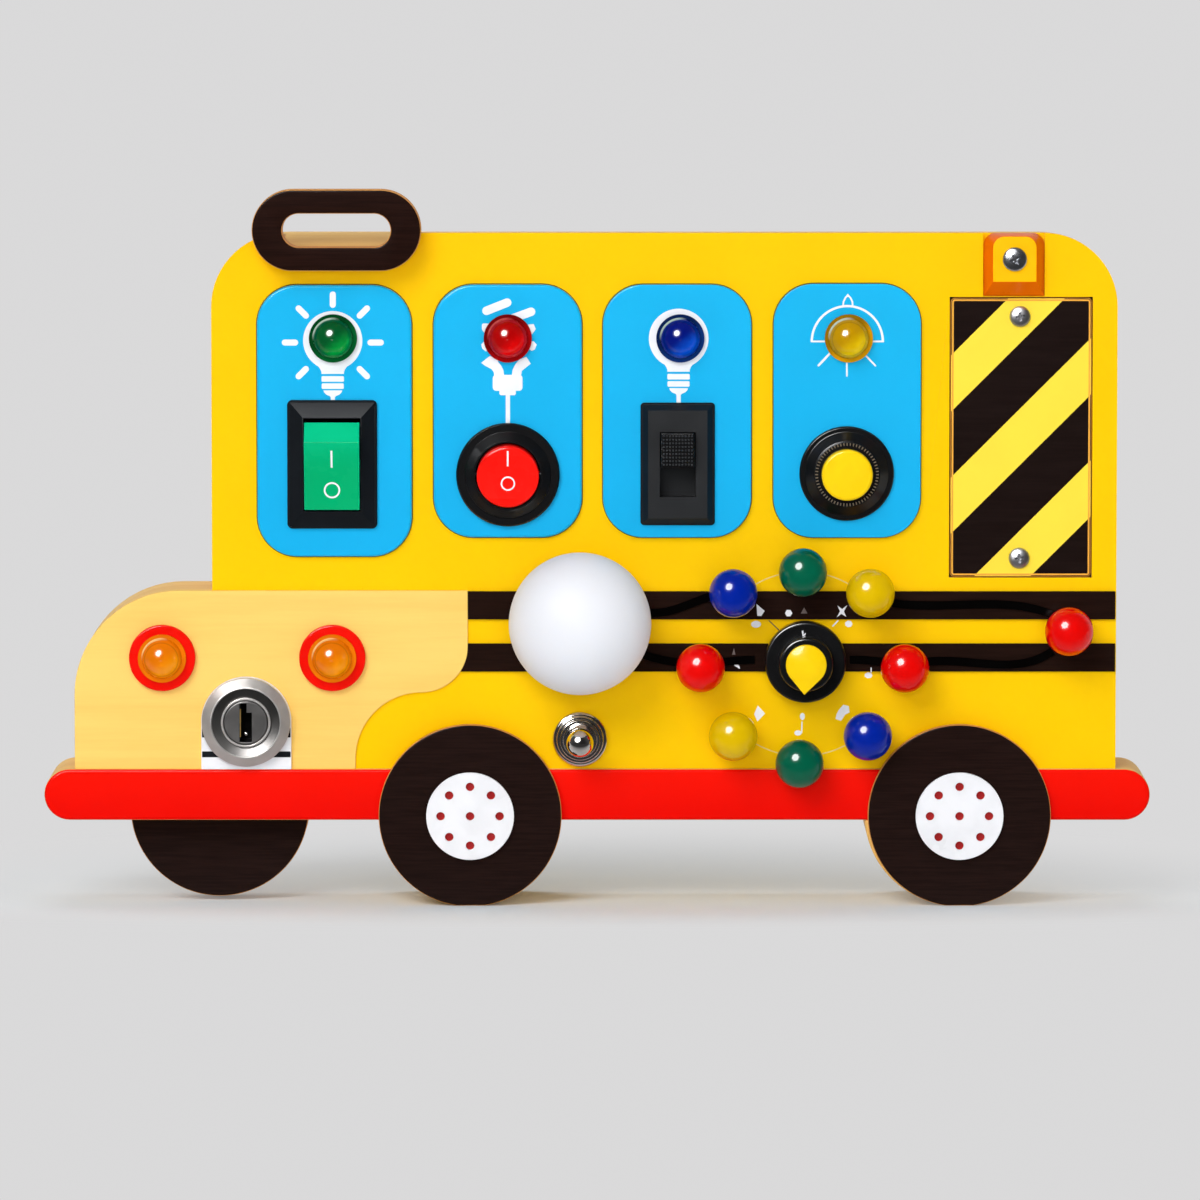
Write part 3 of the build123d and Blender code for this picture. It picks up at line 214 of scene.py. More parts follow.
class Tree:
    """A node tree and the one way to add a node to it."""

    def __init__(self, tree: bpy.types.NodeTree) -> None:
        """Keeps the tree."""
        self.tree = tree

    def node(
        self,
        kind: str,
        settings: dict[str, object] | None = None,
        inputs: dict[int | str, object] | None = None,
    ) -> bpy.types.Node:
        """Adds a node.

        Args:
            kind: Blender's type name.
            settings: properties to set first.
            inputs: a value, Signal or socket for each named or numbered input.

        Returns:
            The new node.
        """
        node = self.tree.nodes.new(kind)
        for key, value in (settings or {}).items():
            setattr(node, key, value)
        for key, value in (inputs or {}).items():
            target = node.inputs[key]
            if isinstance(value, Signal):
                value = value.socket
            if isinstance(value, bpy.types.NodeSocket):
                self.tree.links.new(value, target)
            else:
                target.default_value = value
        return node

    def out(self, node: bpy.types.Node, socket: int | str = 0) -> Signal:
        """A node's output as a Signal."""
        return Signal(self, node.outputs[socket])

    def parts(self, vector: object) -> tuple[Signal, Signal, Signal]:
        """The x, y and z of a vector."""
        node = self.node("ShaderNodeSeparateXYZ", {}, {0: vector})
        return tuple(self.out(node, i) for i in range(3))

    def joined(self, *parts: object) -> Signal:
        """The vector of an x, a y and a z."""
        return self.out(self.node("ShaderNodeCombineXYZ", {}, dict(enumerate(parts))))

    def range(
        self, value: Signal, low: float, high: float, start: float, end: float
    ) -> Signal:
        """A value carried from one span to another, smooth at both ends.

        Args:
            value: the value.
            low: where its span starts.
            high: where its span ends.
            start: the result at low.
            end: the result at high.

        Returns:
            The result, which stays between start and end.
        """
        return self.out(
            self.node(
                "ShaderNodeMapRange",
                {"interpolation_type": "SMOOTHSTEP"},
                {0: value, 1: low, 2: high, 3: start, 4: end},
            )
        )

    def varied(self, noise: Signal, start: float, end: float) -> Signal:
        """A value that wanders from start to end with a noise."""
        return self.range(noise, NOISE_LOW, NOISE_HIGH, start, end)

    def seen_directly(self) -> Signal:
        """Tells rays that are seen from rays that light.

        Returns:
            1 for rays from the camera, or by way of gloss or glass.
        """
        path = self.node("ShaderNodeLightPath")
        seen = self.out(path, "Is Camera Ray") + self.out(path, "Is Glossy Ray")
        return seen + self.out(path, "Is Transmission Ray")


class Recipe(Tree):
    """A material while it is being made."""

    def __init__(self, name: str) -> None:
        """Starts an empty material.

        Args:
            name: the material's name.
        """
        self.material = bpy.data.materials.new(name)
        self.material.use_nodes = True
        super().__init__(self.material.node_tree)
        self.tree.nodes.clear()

    def spot(self) -> Signal:
        """Object coordinates, in metres."""
        return self.out(self.node("ShaderNodeTexCoord"), "Object")

    def facing(self) -> Signal:
        """Reads which way the surface faces.

        Returns:
            1 where it faces the front, down to -1 where it faces back.
        """
        normal = self.node("ShaderNodeTexCoord").outputs["Normal"]
        parts = self.node("ShaderNodeSeparateXYZ", {}, {0: normal})
        return 0.0 - self.out(parts, 1)

    def front(self, low: float, high: float) -> Signal:
        """0 to 1 as the surface's facing goes from low to high."""
        return self.range(self.facing(), low, high, 0.0, 1.0)

    def turned(
        self,
        vector: Signal,
        move: Sequence[float] = (0, 0, 0),
        turn: Sequence[float] = (0, 0, 0),
        scale: Sequence[float] = (1, 1, 1),
    ) -> Signal:
        """A vector moved, turned and scaled by a Mapping node.

        Args:
            vector: the vector.
            move: how far it is moved.
            turn: its turn about each axis, in radians.
            scale: its scale along each axis.

        Returns:
            The new vector.
        """
        return self.out(
            self.node(
                "ShaderNodeMapping", {},
                {"Vector": vector, "Location": move, "Rotation": turn, "Scale": scale},
            )
        )

    def noise(
        self,
        vector: Signal,
        scale: float,
        detail: float = 3.0,
        rough: float = 0.5,
        warp: float = 0.0,
    ) -> Signal:
        """Cloudy noise round 0.5.

        Args:
            vector: where it is read.
            scale: its cells a metre.
            detail: how many finer layers it has.
            rough: the strength of the finer layers.
            warp: how far it is bent out of shape.

        Returns:
            The noise.
        """
        return self.out(
            self.node(
                "ShaderNodeTexNoise", {},
                {"Vector": vector, "Scale": scale, "Detail": detail, "Roughness": rough,
                 "Distortion": warp},
            )
        )

    def mix(self, share: object, first: object, second: object) -> Signal:
        """A colour between two colours.

        Args:
            share: 0 for the first colour to 1 for the second.
            first: a colour.
            second: a colour.

        Returns:
            The mixed colour.
        """
        node = self.node(
            "ShaderNodeMix",
            {"data_type": "RGBA", "clamp_factor": True},
            {0: share, 6: first, 7: second},
        )
        return self.out(node, 2)

    def shade(self, colour: object, amount: Signal) -> Signal:
        """A colour made lighter or darker.

        Args:
            colour: the colour.
            amount: what each of its channels is multiplied by.

        Returns:
            The new colour.
        """
        tone = self.node("ShaderNodeCombineColor", {}, {0: amount, 1: amount, 2: amount})
        node = self.node(
            "ShaderNodeMix",
            {"data_type": "RGBA", "blend_type": "MULTIPLY"},
            {0: 1.0, 6: colour, 7: tone.outputs[0]},
        )
        return self.out(node, 2)

    def bump(self, height: Signal, strength: float, reach: float) -> Signal:
        """A normal bent by a height.

        Args:
            height: the height, round 0.5.
            strength: how strongly it shows.
            reach: the height of 1, in millimetres.

        Returns:
            The normal.
        """
        return self.out(
            self.node(
                "ShaderNodeBump", {},
                {"Strength": strength, "Distance": reach * MM, "Height": height},
            )
        )

    def surface(self, **sockets: object) -> bpy.types.Material:
        """Ends the material in one Principled shader.

        Args:
            **sockets: its inputs, with _ for a space in the name.

        Returns:
            The finished material.
        """
        named = {key.replace("_", " "): value for key, value in sockets.items()}
        shader = self.node("ShaderNodeBsdfPrincipled", {}, named)
        self.node("ShaderNodeOutputMaterial", {}, {0: shader.outputs[0]})
        return self.material


# -------------------------------------------------------------- finishes


@dataclass(frozen=True)
class Timber:
    """Bare clear-varnished wood with plies that show in its edges."""

    name: str
    light: tuple[float, ...]
    dark: tuple[float, ...]
    grain: float = 260.0
    figure: float = 0.35
    plies: bool = True
    ply_pair: float = 1.5
    roughness: float = 0.42
    coat: float = 0.08
    coat_blur: float = 0.2
    gloss: float = 0.06
    cloud: float = 22.0  # cells a metre of its slow change of tone
    contrast: tuple[float, float] = (0.36, 0.64)  # the figure's span from light to dark

    def colour(self, recipe: Recipe) -> tuple[Signal, Signal]:
        """The wood's colour and the height of its grain.

        Args:
            recipe: the material being made.

        Returns:
            The colour and a height for a bump.
        """
        spot = recipe.spot()
        drawn = recipe.turned(spot, scale=GRAIN_STRETCH)
        fibre = recipe.noise(drawn, self.grain * 4, 4.0, 0.65)
        rings = recipe.noise(drawn, self.grain * 0.45, 2.0, 0.5, 0.6)
        cloud = recipe.noise(spot, self.cloud, 2.0)
        figure = rings * 0.6 + fibre * 0.25 + cloud * 0.15
        tone = recipe.range(figure, *self.contrast, 0.0, 1.0)
        colour = recipe.mix(tone * self.figure, self.light, self.dark)
        if self.plies:
            _, depth, _ = recipe.parts(spot)
            layer = ((depth / (self.ply_pair * MM)) % 1.0) > 0.5
            edge = recipe.range(abs(recipe.facing()), 0.5, 0.8, 1.0, 0.0)
            deeper = recipe.mix(0.35, self.light, self.dark)
            colour = recipe.mix(layer * edge * 0.5, colour, deeper)
        return colour, fibre * 0.7 + rings * 0.3

    def build(self) -> bpy.types.Material:
        """Makes the material.

        Returns:
            The finished material.
        """
        recipe = Recipe(self.name)
        colour, height = self.colour(recipe)
        return recipe.surface(
            Base_Color=colour,
            Roughness=recipe.varied(height, self.roughness, self.roughness + 0.12),
            Normal=recipe.bump(height, 0.25, 0.06),
            Specular_IOR_Level=self.gloss,
            Coat_Weight=self.coat,
            Coat_Roughness=self.coat_blur,
        )


NATURAL = Timber("natural_wood", paint(250, 205, 118), paint(214, 152, 74))
HOOD_WOOD = Timber(
    "hood_wood", paint(253, 211, 112), paint(238, 182, 84), grain=300.0, figure=0.4,
    plies=False, roughness=0.45, coat=0.05,
)


@dataclass(frozen=True)
class BoardPaint:
    """Satin paint on the front of a board whose edges stay bare wood."""

    name: str
    # top and low: the paint's colour at the two ends of span, a gradient with height that is
    # painted light and shade
    top: tuple[float, ...]
    low: tuple[float, ...]
    span: tuple[float, float] = (36.0, 182.0)
    roughness: float = 0.36
    coat: float = 0.1
    stain: float = 0.0
    edge: Timber | None = None
    wrap: float = 0.45
    gloss: float = 0.02
    coat_blur: float = 0.16
    cloud: float = 30.0  # cells a metre of its slow change of tone
    peel: float = 1400.0  # of the paint's own skin
    fibre: float = 1500.0  # and of the grain that shows through
    wrap_blur: float = 0.08

    def build(self) -> bpy.types.Material:
        """Makes the material.

        Returns:
            The finished material.
        """
        recipe = Recipe(self.name)
        spot = recipe.spot()
        _, _, height = recipe.parts(spot)
        # Painted light and shade: the colour changes with height between low and top.
        rise = recipe.range(height, self.span[0] * MM, self.span[1] * MM, 0.0, 1.0)
        colour = recipe.mix(rise, self.low, self.top)
        cloud = recipe.noise(spot, self.cloud, 3.0)
        colour = recipe.shade(colour, recipe.range(cloud, 0.25, 0.75, 0.975, 1.02))
        peel = recipe.noise(spot, self.peel, 2.0)
        drawn = recipe.turned(spot, scale=GRAIN_STRETCH)
        fibre = recipe.noise(drawn, self.fibre, 4.0, 0.6)
        if self.stain:
            low, high = 1.0 - self.stain, 1.0 + self.stain
            colour = recipe.shade(colour, recipe.varied(fibre, low, high))
        relief = peel * 0.5 + fibre * (0.5 + self.stain)
        rough = recipe.varied(cloud, self.roughness - 0.03, self.roughness + 0.05)
        if self.edge:
            bare, _ = self.edge.colour(recipe)
            front = recipe.front(self.wrap - self.wrap_blur, self.wrap + self.wrap_blur)
            colour = recipe.mix(front, bare, colour)
            rough = rough + (1.0 - front) * 0.12
        return recipe.surface(
            Base_Color=colour,
            Roughness=rough,
            Normal=recipe.bump(relief, 0.12, 0.03),
            Specular_IOR_Level=self.gloss,
            Coat_Weight=self.coat,
            Coat_Roughness=self.coat_blur,
        )


# Each paint's top and low colours differ as painted light and shade: the yellow is a touch darker
# at the top, the red and blue lighter, the dark wood lighter low down.
YELLOW_PAINT = BoardPaint(
    "yellow_paint", paint(254, 197, 3), paint(254, 202, 0), edge=NATURAL
)
BLUE_PAINT = BoardPaint(
    "blue_paint", paint(22, 178, 233), paint(20, 175, 232), (95.0, 168.0), 0.32, 0.35
)
RED_PAINT = BoardPaint(
    "red_paint", paint(246, 16, 1), paint(236, 8, 0), (23.0, 37.0), 0.34,
    edge=NATURAL,
)
STRIPE_WOOD = BoardPaint(
    "stripe_wood", paint(31, 16, 11), paint(30, 16, 11), (60.0, 90.0), 0.4, 0.03, 0.22,
)
DARK_WOOD = BoardPaint(
    "dark_wood", paint(32, 15, 10), paint(31, 18, 15), (0.0, 190.0), 0.4, 0.06, 0.25,
    edge=Timber("edge_wood", paint(226, 160, 88), paint(150, 94, 48)), wrap=0.72,
)


@dataclass(frozen=True)
class MouldedPlastic:
    """Injection-moulded plastic with a fine skin and faint flow marks."""

    name: str
    colour: tuple[float, ...]
    roughness: float = 0.28
    skin: float = 2600.0
    relief: float = 0.05
    coat: float = 0.0
    gloss: float = 0.4
    coat_blur: float = 0.04
    coat_bend: float = 1.5
    side: tuple[float, ...] | None = None  # colour where it faces away from the front: painted shade where darker, painted light where lighter
    shaded_pins: tuple[float, float] | None = None  # middle in x, and the reach past which the pins are painted dark, as shade
    pin_shade: tuple[float, ...] = paint(10, 10, 12)
    flow: float = 120.0  # cells a metre of the flow marks

    def build(self) -> bpy.types.Material:
        """Makes the material.

        Returns:
            The finished material.
        """
        recipe = Recipe(self.name)
        spot = recipe.spot()
        skin = recipe.noise(spot, self.skin, 2.0)
        flow = recipe.noise(spot, self.flow, 3.0, 0.5, 0.4)
        colour = self.colour
        # Painted shade: the pins past the reach are dark like the gap round them.
        if self.shaded_pins:
            middle, reach = self.shaded_pins
            across, _, _ = recipe.parts(spot)
            pin = abs(across / MM - middle) > reach
            colour = recipe.mix(pin, self.colour, self.pin_shade)
        # Painted light and shade: faces turned from the front take the side colour.
        if self.side:
            front = recipe.front(0.88, 0.98)
            colour = recipe.mix(front, self.side, self.colour)
        return recipe.surface(
            Base_Color=recipe.shade(colour, recipe.varied(flow, 0.96, 1.03)),
            Roughness=recipe.varied(flow, self.roughness - 0.03, self.roughness + 0.04),
            Normal=recipe.bump(skin, self.relief, 0.05),
            Specular_IOR_Level=self.gloss,
            Coat_Weight=self.coat,
            Coat_IOR=self.coat_bend,
            Coat_Roughness=self.coat_blur,
        )


@dataclass(frozen=True)
class LampLens:
    """A moulded lens with painted light: a glow low on its far side, a highlight arc and shade on
    its rim.
    """

    name: str
    deep: tuple[float, ...]
    # glow is painted light: the colour that the lens takes low on its far side.
    glow: tuple[float, ...]
    rim: tuple[float, ...]
    centre: Point
    # painted highlight: the colour of an arc round the rim's upper left
    painted_highlight: tuple[float, ...] = paint(214, 232, 214)
    twin_gap: float = 0.0  # distance to a second lens in the same node
    dome: float = 5.4
    flange_front: float = -2.7
    # painted shade on the rim, darkest at its upper left
    rim_shade: float = 0.45
    ring: float = 0.84  # radius of the turned ring, as a share of the dome's
    ripple: float = 420.0  # cells a metre of the unevenness inside
    glow_lean: Point = (0.62, 0.78)  # how far across and down the painted glow lies

    def build(self) -> bpy.types.Material:
        """Makes the material.

        Returns:
            The finished material.
        """
        recipe = Recipe(self.name)
        spot = recipe.spot()
        x, y, z = recipe.parts(spot)
        across = x / MM - self.centre[0]
        if self.twin_gap:
            across = across % self.twin_gap
            across = across - self.twin_gap * (across > self.twin_gap / 2)
        up = z / MM - self.centre[1]
        radius = (across * across + up * up) ** 0.5 / self.dome
        lean = (across * self.glow_lean[0] - up * self.glow_lean[1]) / self.dome
        # Painted light: a crescent of glow low on the far side, fading towards the edge.
        painted_crescent = recipe.range(lean, -0.15, 0.75, 0.0, 1.0)
        core = recipe.range(radius, 0.75, 1.02, 1.0, 0.15)
        ripple = recipe.noise(spot, self.ripple, 2.0)
        glow = painted_crescent * core * recipe.varied(ripple, 0.8, 1.1)
        turned = recipe.range(abs(radius - self.ring), 0.0, 0.05, 0.75, 1.0)
        colour = recipe.shade(recipe.mix(glow, self.deep, self.glow), turned)
        proud = y / MM < FACE_Y + self.flange_front - 0.15
        collar = (1.0 - proud) * (radius > 0.96)
        # Painted shade: the rim is darker towards its upper left.
        rim_painted_shade = recipe.range(lean / radius, -0.4, 0.5, self.rim_shade, 1.0)
        colour = recipe.mix(collar, colour, recipe.shade(self.rim, rim_painted_shade))
        # Painted highlight: a pale arc round the rim's upper left.
        arc = recipe.range(abs(radius - 1.0), 0.02, 0.06, 1.0, 0.0)
        arc = arc * recipe.range(lean / radius, -0.95, -0.5, 0.75, 0.0)
        colour = recipe.mix(arc, colour, self.painted_highlight)
        return recipe.surface(
            Base_Color=colour,
            Roughness=recipe.varied(ripple, 0.2, 0.3),
            Normal=recipe.bump(ripple, 0.03, 0.1),
            Specular_IOR_Level=0.02,
            Coat_Weight=recipe.range(radius, 0.6, self.ring, 1.0, 0.1),
            Coat_IOR=1.5,
            Coat_Roughness=0.02,
        )


class Working(Enum):
    """How a metal's surface was finished: its roughness and how far that wanders."""

    POLISHED = (0.08, 0.02)
    TURNED = (0.30, 0.12)
    PLATED = (0.34, 0.08)
    ROLLED = (0.32, 0.08)
    PRESSED = (0.2, 0.05)


@dataclass(frozen=True)
class Metal:
    """Metal with the marks of its working, round a centre where it was turned."""

    name: str
    colour: tuple[float, ...]
    working: Working
    centre: Point | None = None
    bore: tuple[float, float] | None = None  # radius of a hole painted dark inside as shade, and its front's depth
    shaded: tuple[float, float] | None = None  # inner and outer radius of a ring of painted shade, darker towards the top
    metallic: float = 1.0
    cloud: float = 260.0  # cells a metre of its slow change of tone
    turned: float = 9000.0  # of marks round the centre
    drawn: float = 3000.0  # and of marks along its height

    def build(self) -> bpy.types.Material:
        """Makes the material.

        Returns:
            The finished material.
        """
        recipe = Recipe(self.name)
        spot = recipe.spot()
        cloud = recipe.noise(spot, self.cloud, 3.0)
        base, spread = self.working.value
        if self.centre:
            moved = recipe.turned(spot, (-self.centre[0] * MM, 0.0, -self.centre[1] * MM))
            x, y, z = recipe.parts(moved)
            radius = (x * x + z * z) ** 0.5
            marks = recipe.noise(recipe.joined(radius, 0.0, 0.0), self.turned, 2.0, 0.7)
        else:
            along = recipe.turned(spot, scale=(1, 1, 0.1))
            marks = recipe.noise(along, self.drawn, 3.0, 0.6)
        tone = recipe.varied(cloud, 0.93, 1.04)
        # Painted shade: darker inside the hole, behind its front.
        if self.bore:
            reach, face = self.bore
            deep = recipe.range(y / MM, FACE_Y + face, FACE_Y + face + 0.5, 0.0, 1.0)
            tone = tone * (1.0 - deep * (radius < reach * MM) * 0.97)
        # Painted shade on a ring, darker towards the top.
        if self.shaded:
            inner, outer = self.shaded
            ring = (radius > inner * MM) * (radius < outer * MM)
            tone = tone * (1.0 - ring * recipe.range(z / MM, -9.0, 6.0, 0.72, 0.93))
        return recipe.surface(
            Base_Color=recipe.shade(self.colour, tone),
            Metallic=self.metallic,
            Roughness=recipe.varied(cloud * 0.5 + marks * 0.5, base, base + spread),
            Normal=recipe.bump(marks, 0.08, 0.02),
        )


@dataclass(frozen=True)
class HazardPrint:
    """Slanting black and yellow bands printed on the battery cover."""

    name: str = "hazard_print"
    yellow: tuple[float, ...] = paint(254, 221, 66)
    black: tuple[float, ...] = paint(24, 12, 9)
    first: float = 5.1  # where a band starts, on z less x
    pitch: float = 33.15
    band: float = 15.3
    wander: tuple[float, float] = (900.0, 0.12)  # cells a metre and reach of uneven edges
    cloud: float = 60.0
    fibre: float = 1500.0

    def build(self) -> bpy.types.Material:
        """Makes the material.

        Returns:
            The finished material.
        """
        recipe = Recipe(self.name)
        spot = recipe.spot()
        x, _, z = recipe.parts(spot)
        cells, reach = self.wander
        wander = recipe.noise(spot, cells, 2.0) * reach
        along = (z / MM - x / MM - self.first + wander) % self.pitch
        band = along < self.band
        cloud = recipe.noise(spot, self.cloud, 3.0)
        drawn = recipe.turned(spot, scale=GRAIN_STRETCH)
        fibre = recipe.noise(drawn, self.fibre, 4.0, 0.6)
        black = recipe.shade(self.black, recipe.varied(fibre, 0.85, 1.15))
        yellow = recipe.shade(self.yellow, recipe.varied(cloud, 0.98, 1.02))
        printed = recipe.mix(band, black, yellow)
        bare, height = NATURAL.colour(recipe)
        front = recipe.front(0.86, 0.95)
        return recipe.surface(
            Base_Color=recipe.mix(front, bare, printed),
            Roughness=recipe.varied(fibre, 0.36, 0.46),
            Normal=recipe.bump(height, 0.1, 0.03),
            Specular_IOR_Level=0.05,
            Coat_Weight=0.05,
            Coat_Roughness=0.2,
        )


@dataclass(frozen=True)
class Diffuser:
    """Milky lamp globe with a satin skin."""

    name: str = "frosted_white"
    colour: tuple[float, ...] = paint(236, 236, 242)
    skin: float = 3800.0
    cloud: float = 40.0
    scatter: float = 0.004  # how far light travels inside, in metres

    def build(self) -> bpy.types.Material:
        """Makes the material.

        Returns:
            The finished material.
        """
        recipe = Recipe(self.name)
        spot = recipe.spot()
        skin = recipe.noise(spot, self.skin, 2.0)
        cloud = recipe.noise(spot, self.cloud, 2.0)
        return recipe.surface(
            Base_Color=recipe.shade(self.colour, recipe.varied(cloud, 0.985, 1.0)),
            Roughness=recipe.varied(skin, 0.46, 0.54),
            Normal=recipe.bump(skin, 0.04, 0.02),
            Subsurface_Weight=0.25,
            Subsurface_Radius=(1.0, 0.95, 0.9),
            Subsurface_Scale=self.scatter,
            Specular_IOR_Level=0.12,
        )


@dataclass(frozen=True)
class CircuitBoard:
    """Green solder mask with tracks and pads."""

    name: str = "circuit_board"
    mask: tuple[float, ...] = paint(14, 96, 52)
    shaded: tuple[float, ...] = paint(10, 82, 44)
    track: tuple[float, ...] = paint(70, 150, 84)
    fields: float = 180.0

    def build(self) -> bpy.types.Material:
        """Makes the material.

        Returns:
            The finished material.
        """
        recipe = Recipe(self.name)
        spot = recipe.spot()
        tracks = recipe.node(
            "ShaderNodeTexBrick", {"offset": 0.5},
            {"Vector": recipe.turned(spot, turn=FACING_FRONT), "Scale": self.fields,
             "Color1": self.mask, "Color2": self.shaded, "Mortar": self.track,
             "Mortar Size": 0.03},
        )
        cloud = recipe.noise(spot, 400.0, 2.0)
        return recipe.surface(
            Base_Color=recipe.shade(recipe.out(tracks), recipe.varied(cloud, 0.9, 1.1)),
            Roughness=recipe.varied(cloud, 0.3, 0.45),
            Normal=recipe.bump(recipe.out(tracks, 1), 0.2, 0.05),
        )


Finish = (
    Timber | BoardPaint | MouldedPlastic | LampLens | Metal | HazardPrint | Diffuser
    | CircuitBoard
)

WHITE_INK = MouldedPlastic("white_ink", paint(240, 241, 246), 0.4, relief=0.02, gloss=0.2)
DIM_INK = MouldedPlastic("dim_ink", paint(96, 82, 78), 0.5, relief=0.02)
TAN_INK = MouldedPlastic("tan_ink", paint(232, 206, 128), 0.5, relief=0.02)
BROWN_INK = MouldedPlastic("brown_ink", paint(120, 84, 40), 0.5, relief=0.02)
# Dark lines round the windows: the joint, and painted shade along it.
SEAM_AND_SHADE = MouldedPlastic("seam", paint(92, 66, 20), 0.6, relief=0.02, gloss=0.1)
# A darker orange line round the cover: the joint, and painted shade along it.
COVER_SEAM_AND_SHADE = MouldedPlastic("cover_seam", paint(166, 98, 10), 0.6, relief=0.02, gloss=0.1)
RIM_INK = MouldedPlastic("rim_ink", paint(240, 168, 60), 0.5, relief=0.02, gloss=0.1)
GLOSS_BLACK = MouldedPlastic(
    "gloss_black", paint(9, 9, 11), 0.3, 2200.0, 0.04, 0.8, 0.1, coat_blur=0.2
)
# The round button's pins are painted dark: painted shade of the gap round it.
ROUND_RED = MouldedPlastic(
    "round_red", paint(248, 20, 10), 0.26, coat=0.3, gloss=0.05, coat_blur=0.1,
    shaded_pins=(-24.1, 8.43),
)
POINTER_YELLOW = MouldedPlastic(
    "pointer_yellow", paint(253, 208, 26), 0.3, coat=0.12, gloss=0.05, coat_blur=0.3
)
# The slide housing's sides are painted darker than its front: painted shade.
SLIDE_BLACK = MouldedPlastic(
    "slide_black", paint(36, 37, 39), 0.38, 1500.0, 0.3, gloss=0.15, side=paint(17, 16, 20)
)
# The rocker's facets that turn from the front are painted lighter: painted light.
ROCKER_GREEN = MouldedPlastic(
    "rocker_green", paint(0, 172, 108), 0.28, coat=0.25, gloss=0.05, coat_blur=0.1,
    side=paint(0, 196, 136),
)
# The studs are painted lighter than the black knob: painted highlight on their edges.
STUD_HIGHLIGHT = MouldedPlastic("stud_black", paint(62, 64, 67), 0.3, gloss=0.4)
# The knurl's teeth are painted light brown: painted highlight where they catch the light.
KNURL_HIGHLIGHT = MouldedPlastic("knurl", paint(112, 98, 80), 0.3, gloss=0.5)
BRASS = Metal("brass", paint(214, 176, 98), Working.PLATED)
STEEL = Metal("steel", paint(206, 206, 210), Working.PLATED)
CHROME = Metal("chrome", paint(226, 222, 218), Working.POLISHED)
SCREW_STEEL = Metal("screw_steel", paint(186, 186, 190), Working.ROLLED)
LATCH_STEEL = Metal("latch_steel", paint(206, 208, 214), Working.PRESSED)
# The lock body's ring between 6.75 and 9.2 mm is painted shade.
LOCK_STEEL = Metal(
    "lock_steel", paint(184, 180, 177), Working.TURNED, LOCK_CENTRE, shaded=(6.75, 9.2),
    metallic=0.6,
)
# The plug's keyway is painted dark inside: painted shade.
PLUG_STEEL = Metal(
    "plug_steel", paint(102, 100, 99), Working.TURNED, LOCK_CENTRE, bore=(5.75, -5.62),
    metallic=0.75,
)


def lacquer(name: str, colour: tuple[float, ...]) -> MouldedPlastic:
    """The clear-coated lacquer of a wooden ball."""
    return MouldedPlastic(name, colour, 0.4, 500.0, 0.01, 1.0, 0.02, coat_bend=1.38)


SLOTS: dict[str, Finish] = {
    finish.name: finish
    for finish in (
        YELLOW_PAINT, NATURAL, HOOD_WOOD, RED_PAINT, DARK_WOOD, STRIPE_WOOD, BLUE_PAINT,
        MouldedPlastic("hub_red", paint(170, 12, 10), 0.35),
        MouldedPlastic("white_plastic", paint(241, 241, 245), 0.3),
        MouldedPlastic("black_lead", paint(3, 2, 2), 0.18, 900.0, 0.08, gloss=0.12),
        MouldedPlastic("black_plastic", paint(21, 24, 28), 0.34, 1700.0, 0.3, gloss=0.08),
        MouldedPlastic(
            "red_plastic", paint(240, 14, 2), 0.26, coat=0.3, gloss=0.04, coat_blur=0.08
        ),
        MouldedPlastic("green_plastic", paint(0, 176, 108), 0.26, coat=0.2, gloss=0.2),
        MouldedPlastic(
            "yellow_plastic", paint(253, 208, 10), 0.3, coat=0.3, gloss=0.04, coat_blur=0.12
        ),
        # The latch's faces that turn from the front are painted darker orange: painted shade.
        MouldedPlastic(
            "orange_plastic", paint(255, 188, 3), 0.3, coat=0.1, gloss=0.05, coat_blur=0.1,
            side=paint(236, 106, 0),
        ),
        lacquer("ball_red", paint(228, 4, 2)),
        lacquer("ball_yellow", paint(222, 182, 0)),
        lacquer("ball_green", paint(0, 92, 66)),
        lacquer("ball_blue", paint(0, 34, 152)),
        Diffuser(), STEEL, CHROME, BRASS,
        MouldedPlastic("clear_led", paint(225, 228, 232), 0.1, coat=1.0),
        MouldedPlastic("cell_jacket", paint(60, 62, 70), 0.35, 300.0),
        HazardPrint(), CircuitBoard(),
        # Each lens: its deep colour, its painted glow, its rim colour and its centre; red and
        # amber also give a painted highlight colour.
        LampLens(
            "lens_green", paint(1, 84, 38), paint(2, 160, 62), paint(4, 92, 42),
            (-71.3, 153.9),
        ),
        LampLens(
            "lens_red", paint(172, 2, 3), paint(244, 3, 4), paint(158, 4, 8), (-24.1, 153.9),
            paint(224, 96, 90),
        ),
        LampLens(
            "lens_blue", paint(3, 20, 118), paint(6, 84, 214), paint(14, 48, 112),
            (22.5, 153.9),
        ),
        LampLens(
            "lens_yellow", paint(190, 142, 2), paint(246, 206, 2), paint(206, 148, 6),
            (68.0, 153.9),
        ),
        LampLens(
            "lens_amber", paint(228, 116, 2), paint(255, 158, 2), paint(238, 124, 6),
            (-117.8, 67.2), paint(255, 226, 160), twin_gap=46.1, flange_front=-4.0,
            rim_shade=0.85,
        ),
    )
}


def slot_of(node: bpy.types.Object) -> str:
    """The material slot that a CAD node's object takes its finish from."""
    return node.material_slots[0].material.name.split(".")[0]


@lru_cache(maxsize=None)
def material_of(finish: Finish) -> bpy.types.Material:
    """A finish's material, made once."""
    return finish.build()


# ------------------------------------------------------------ mesh pieces


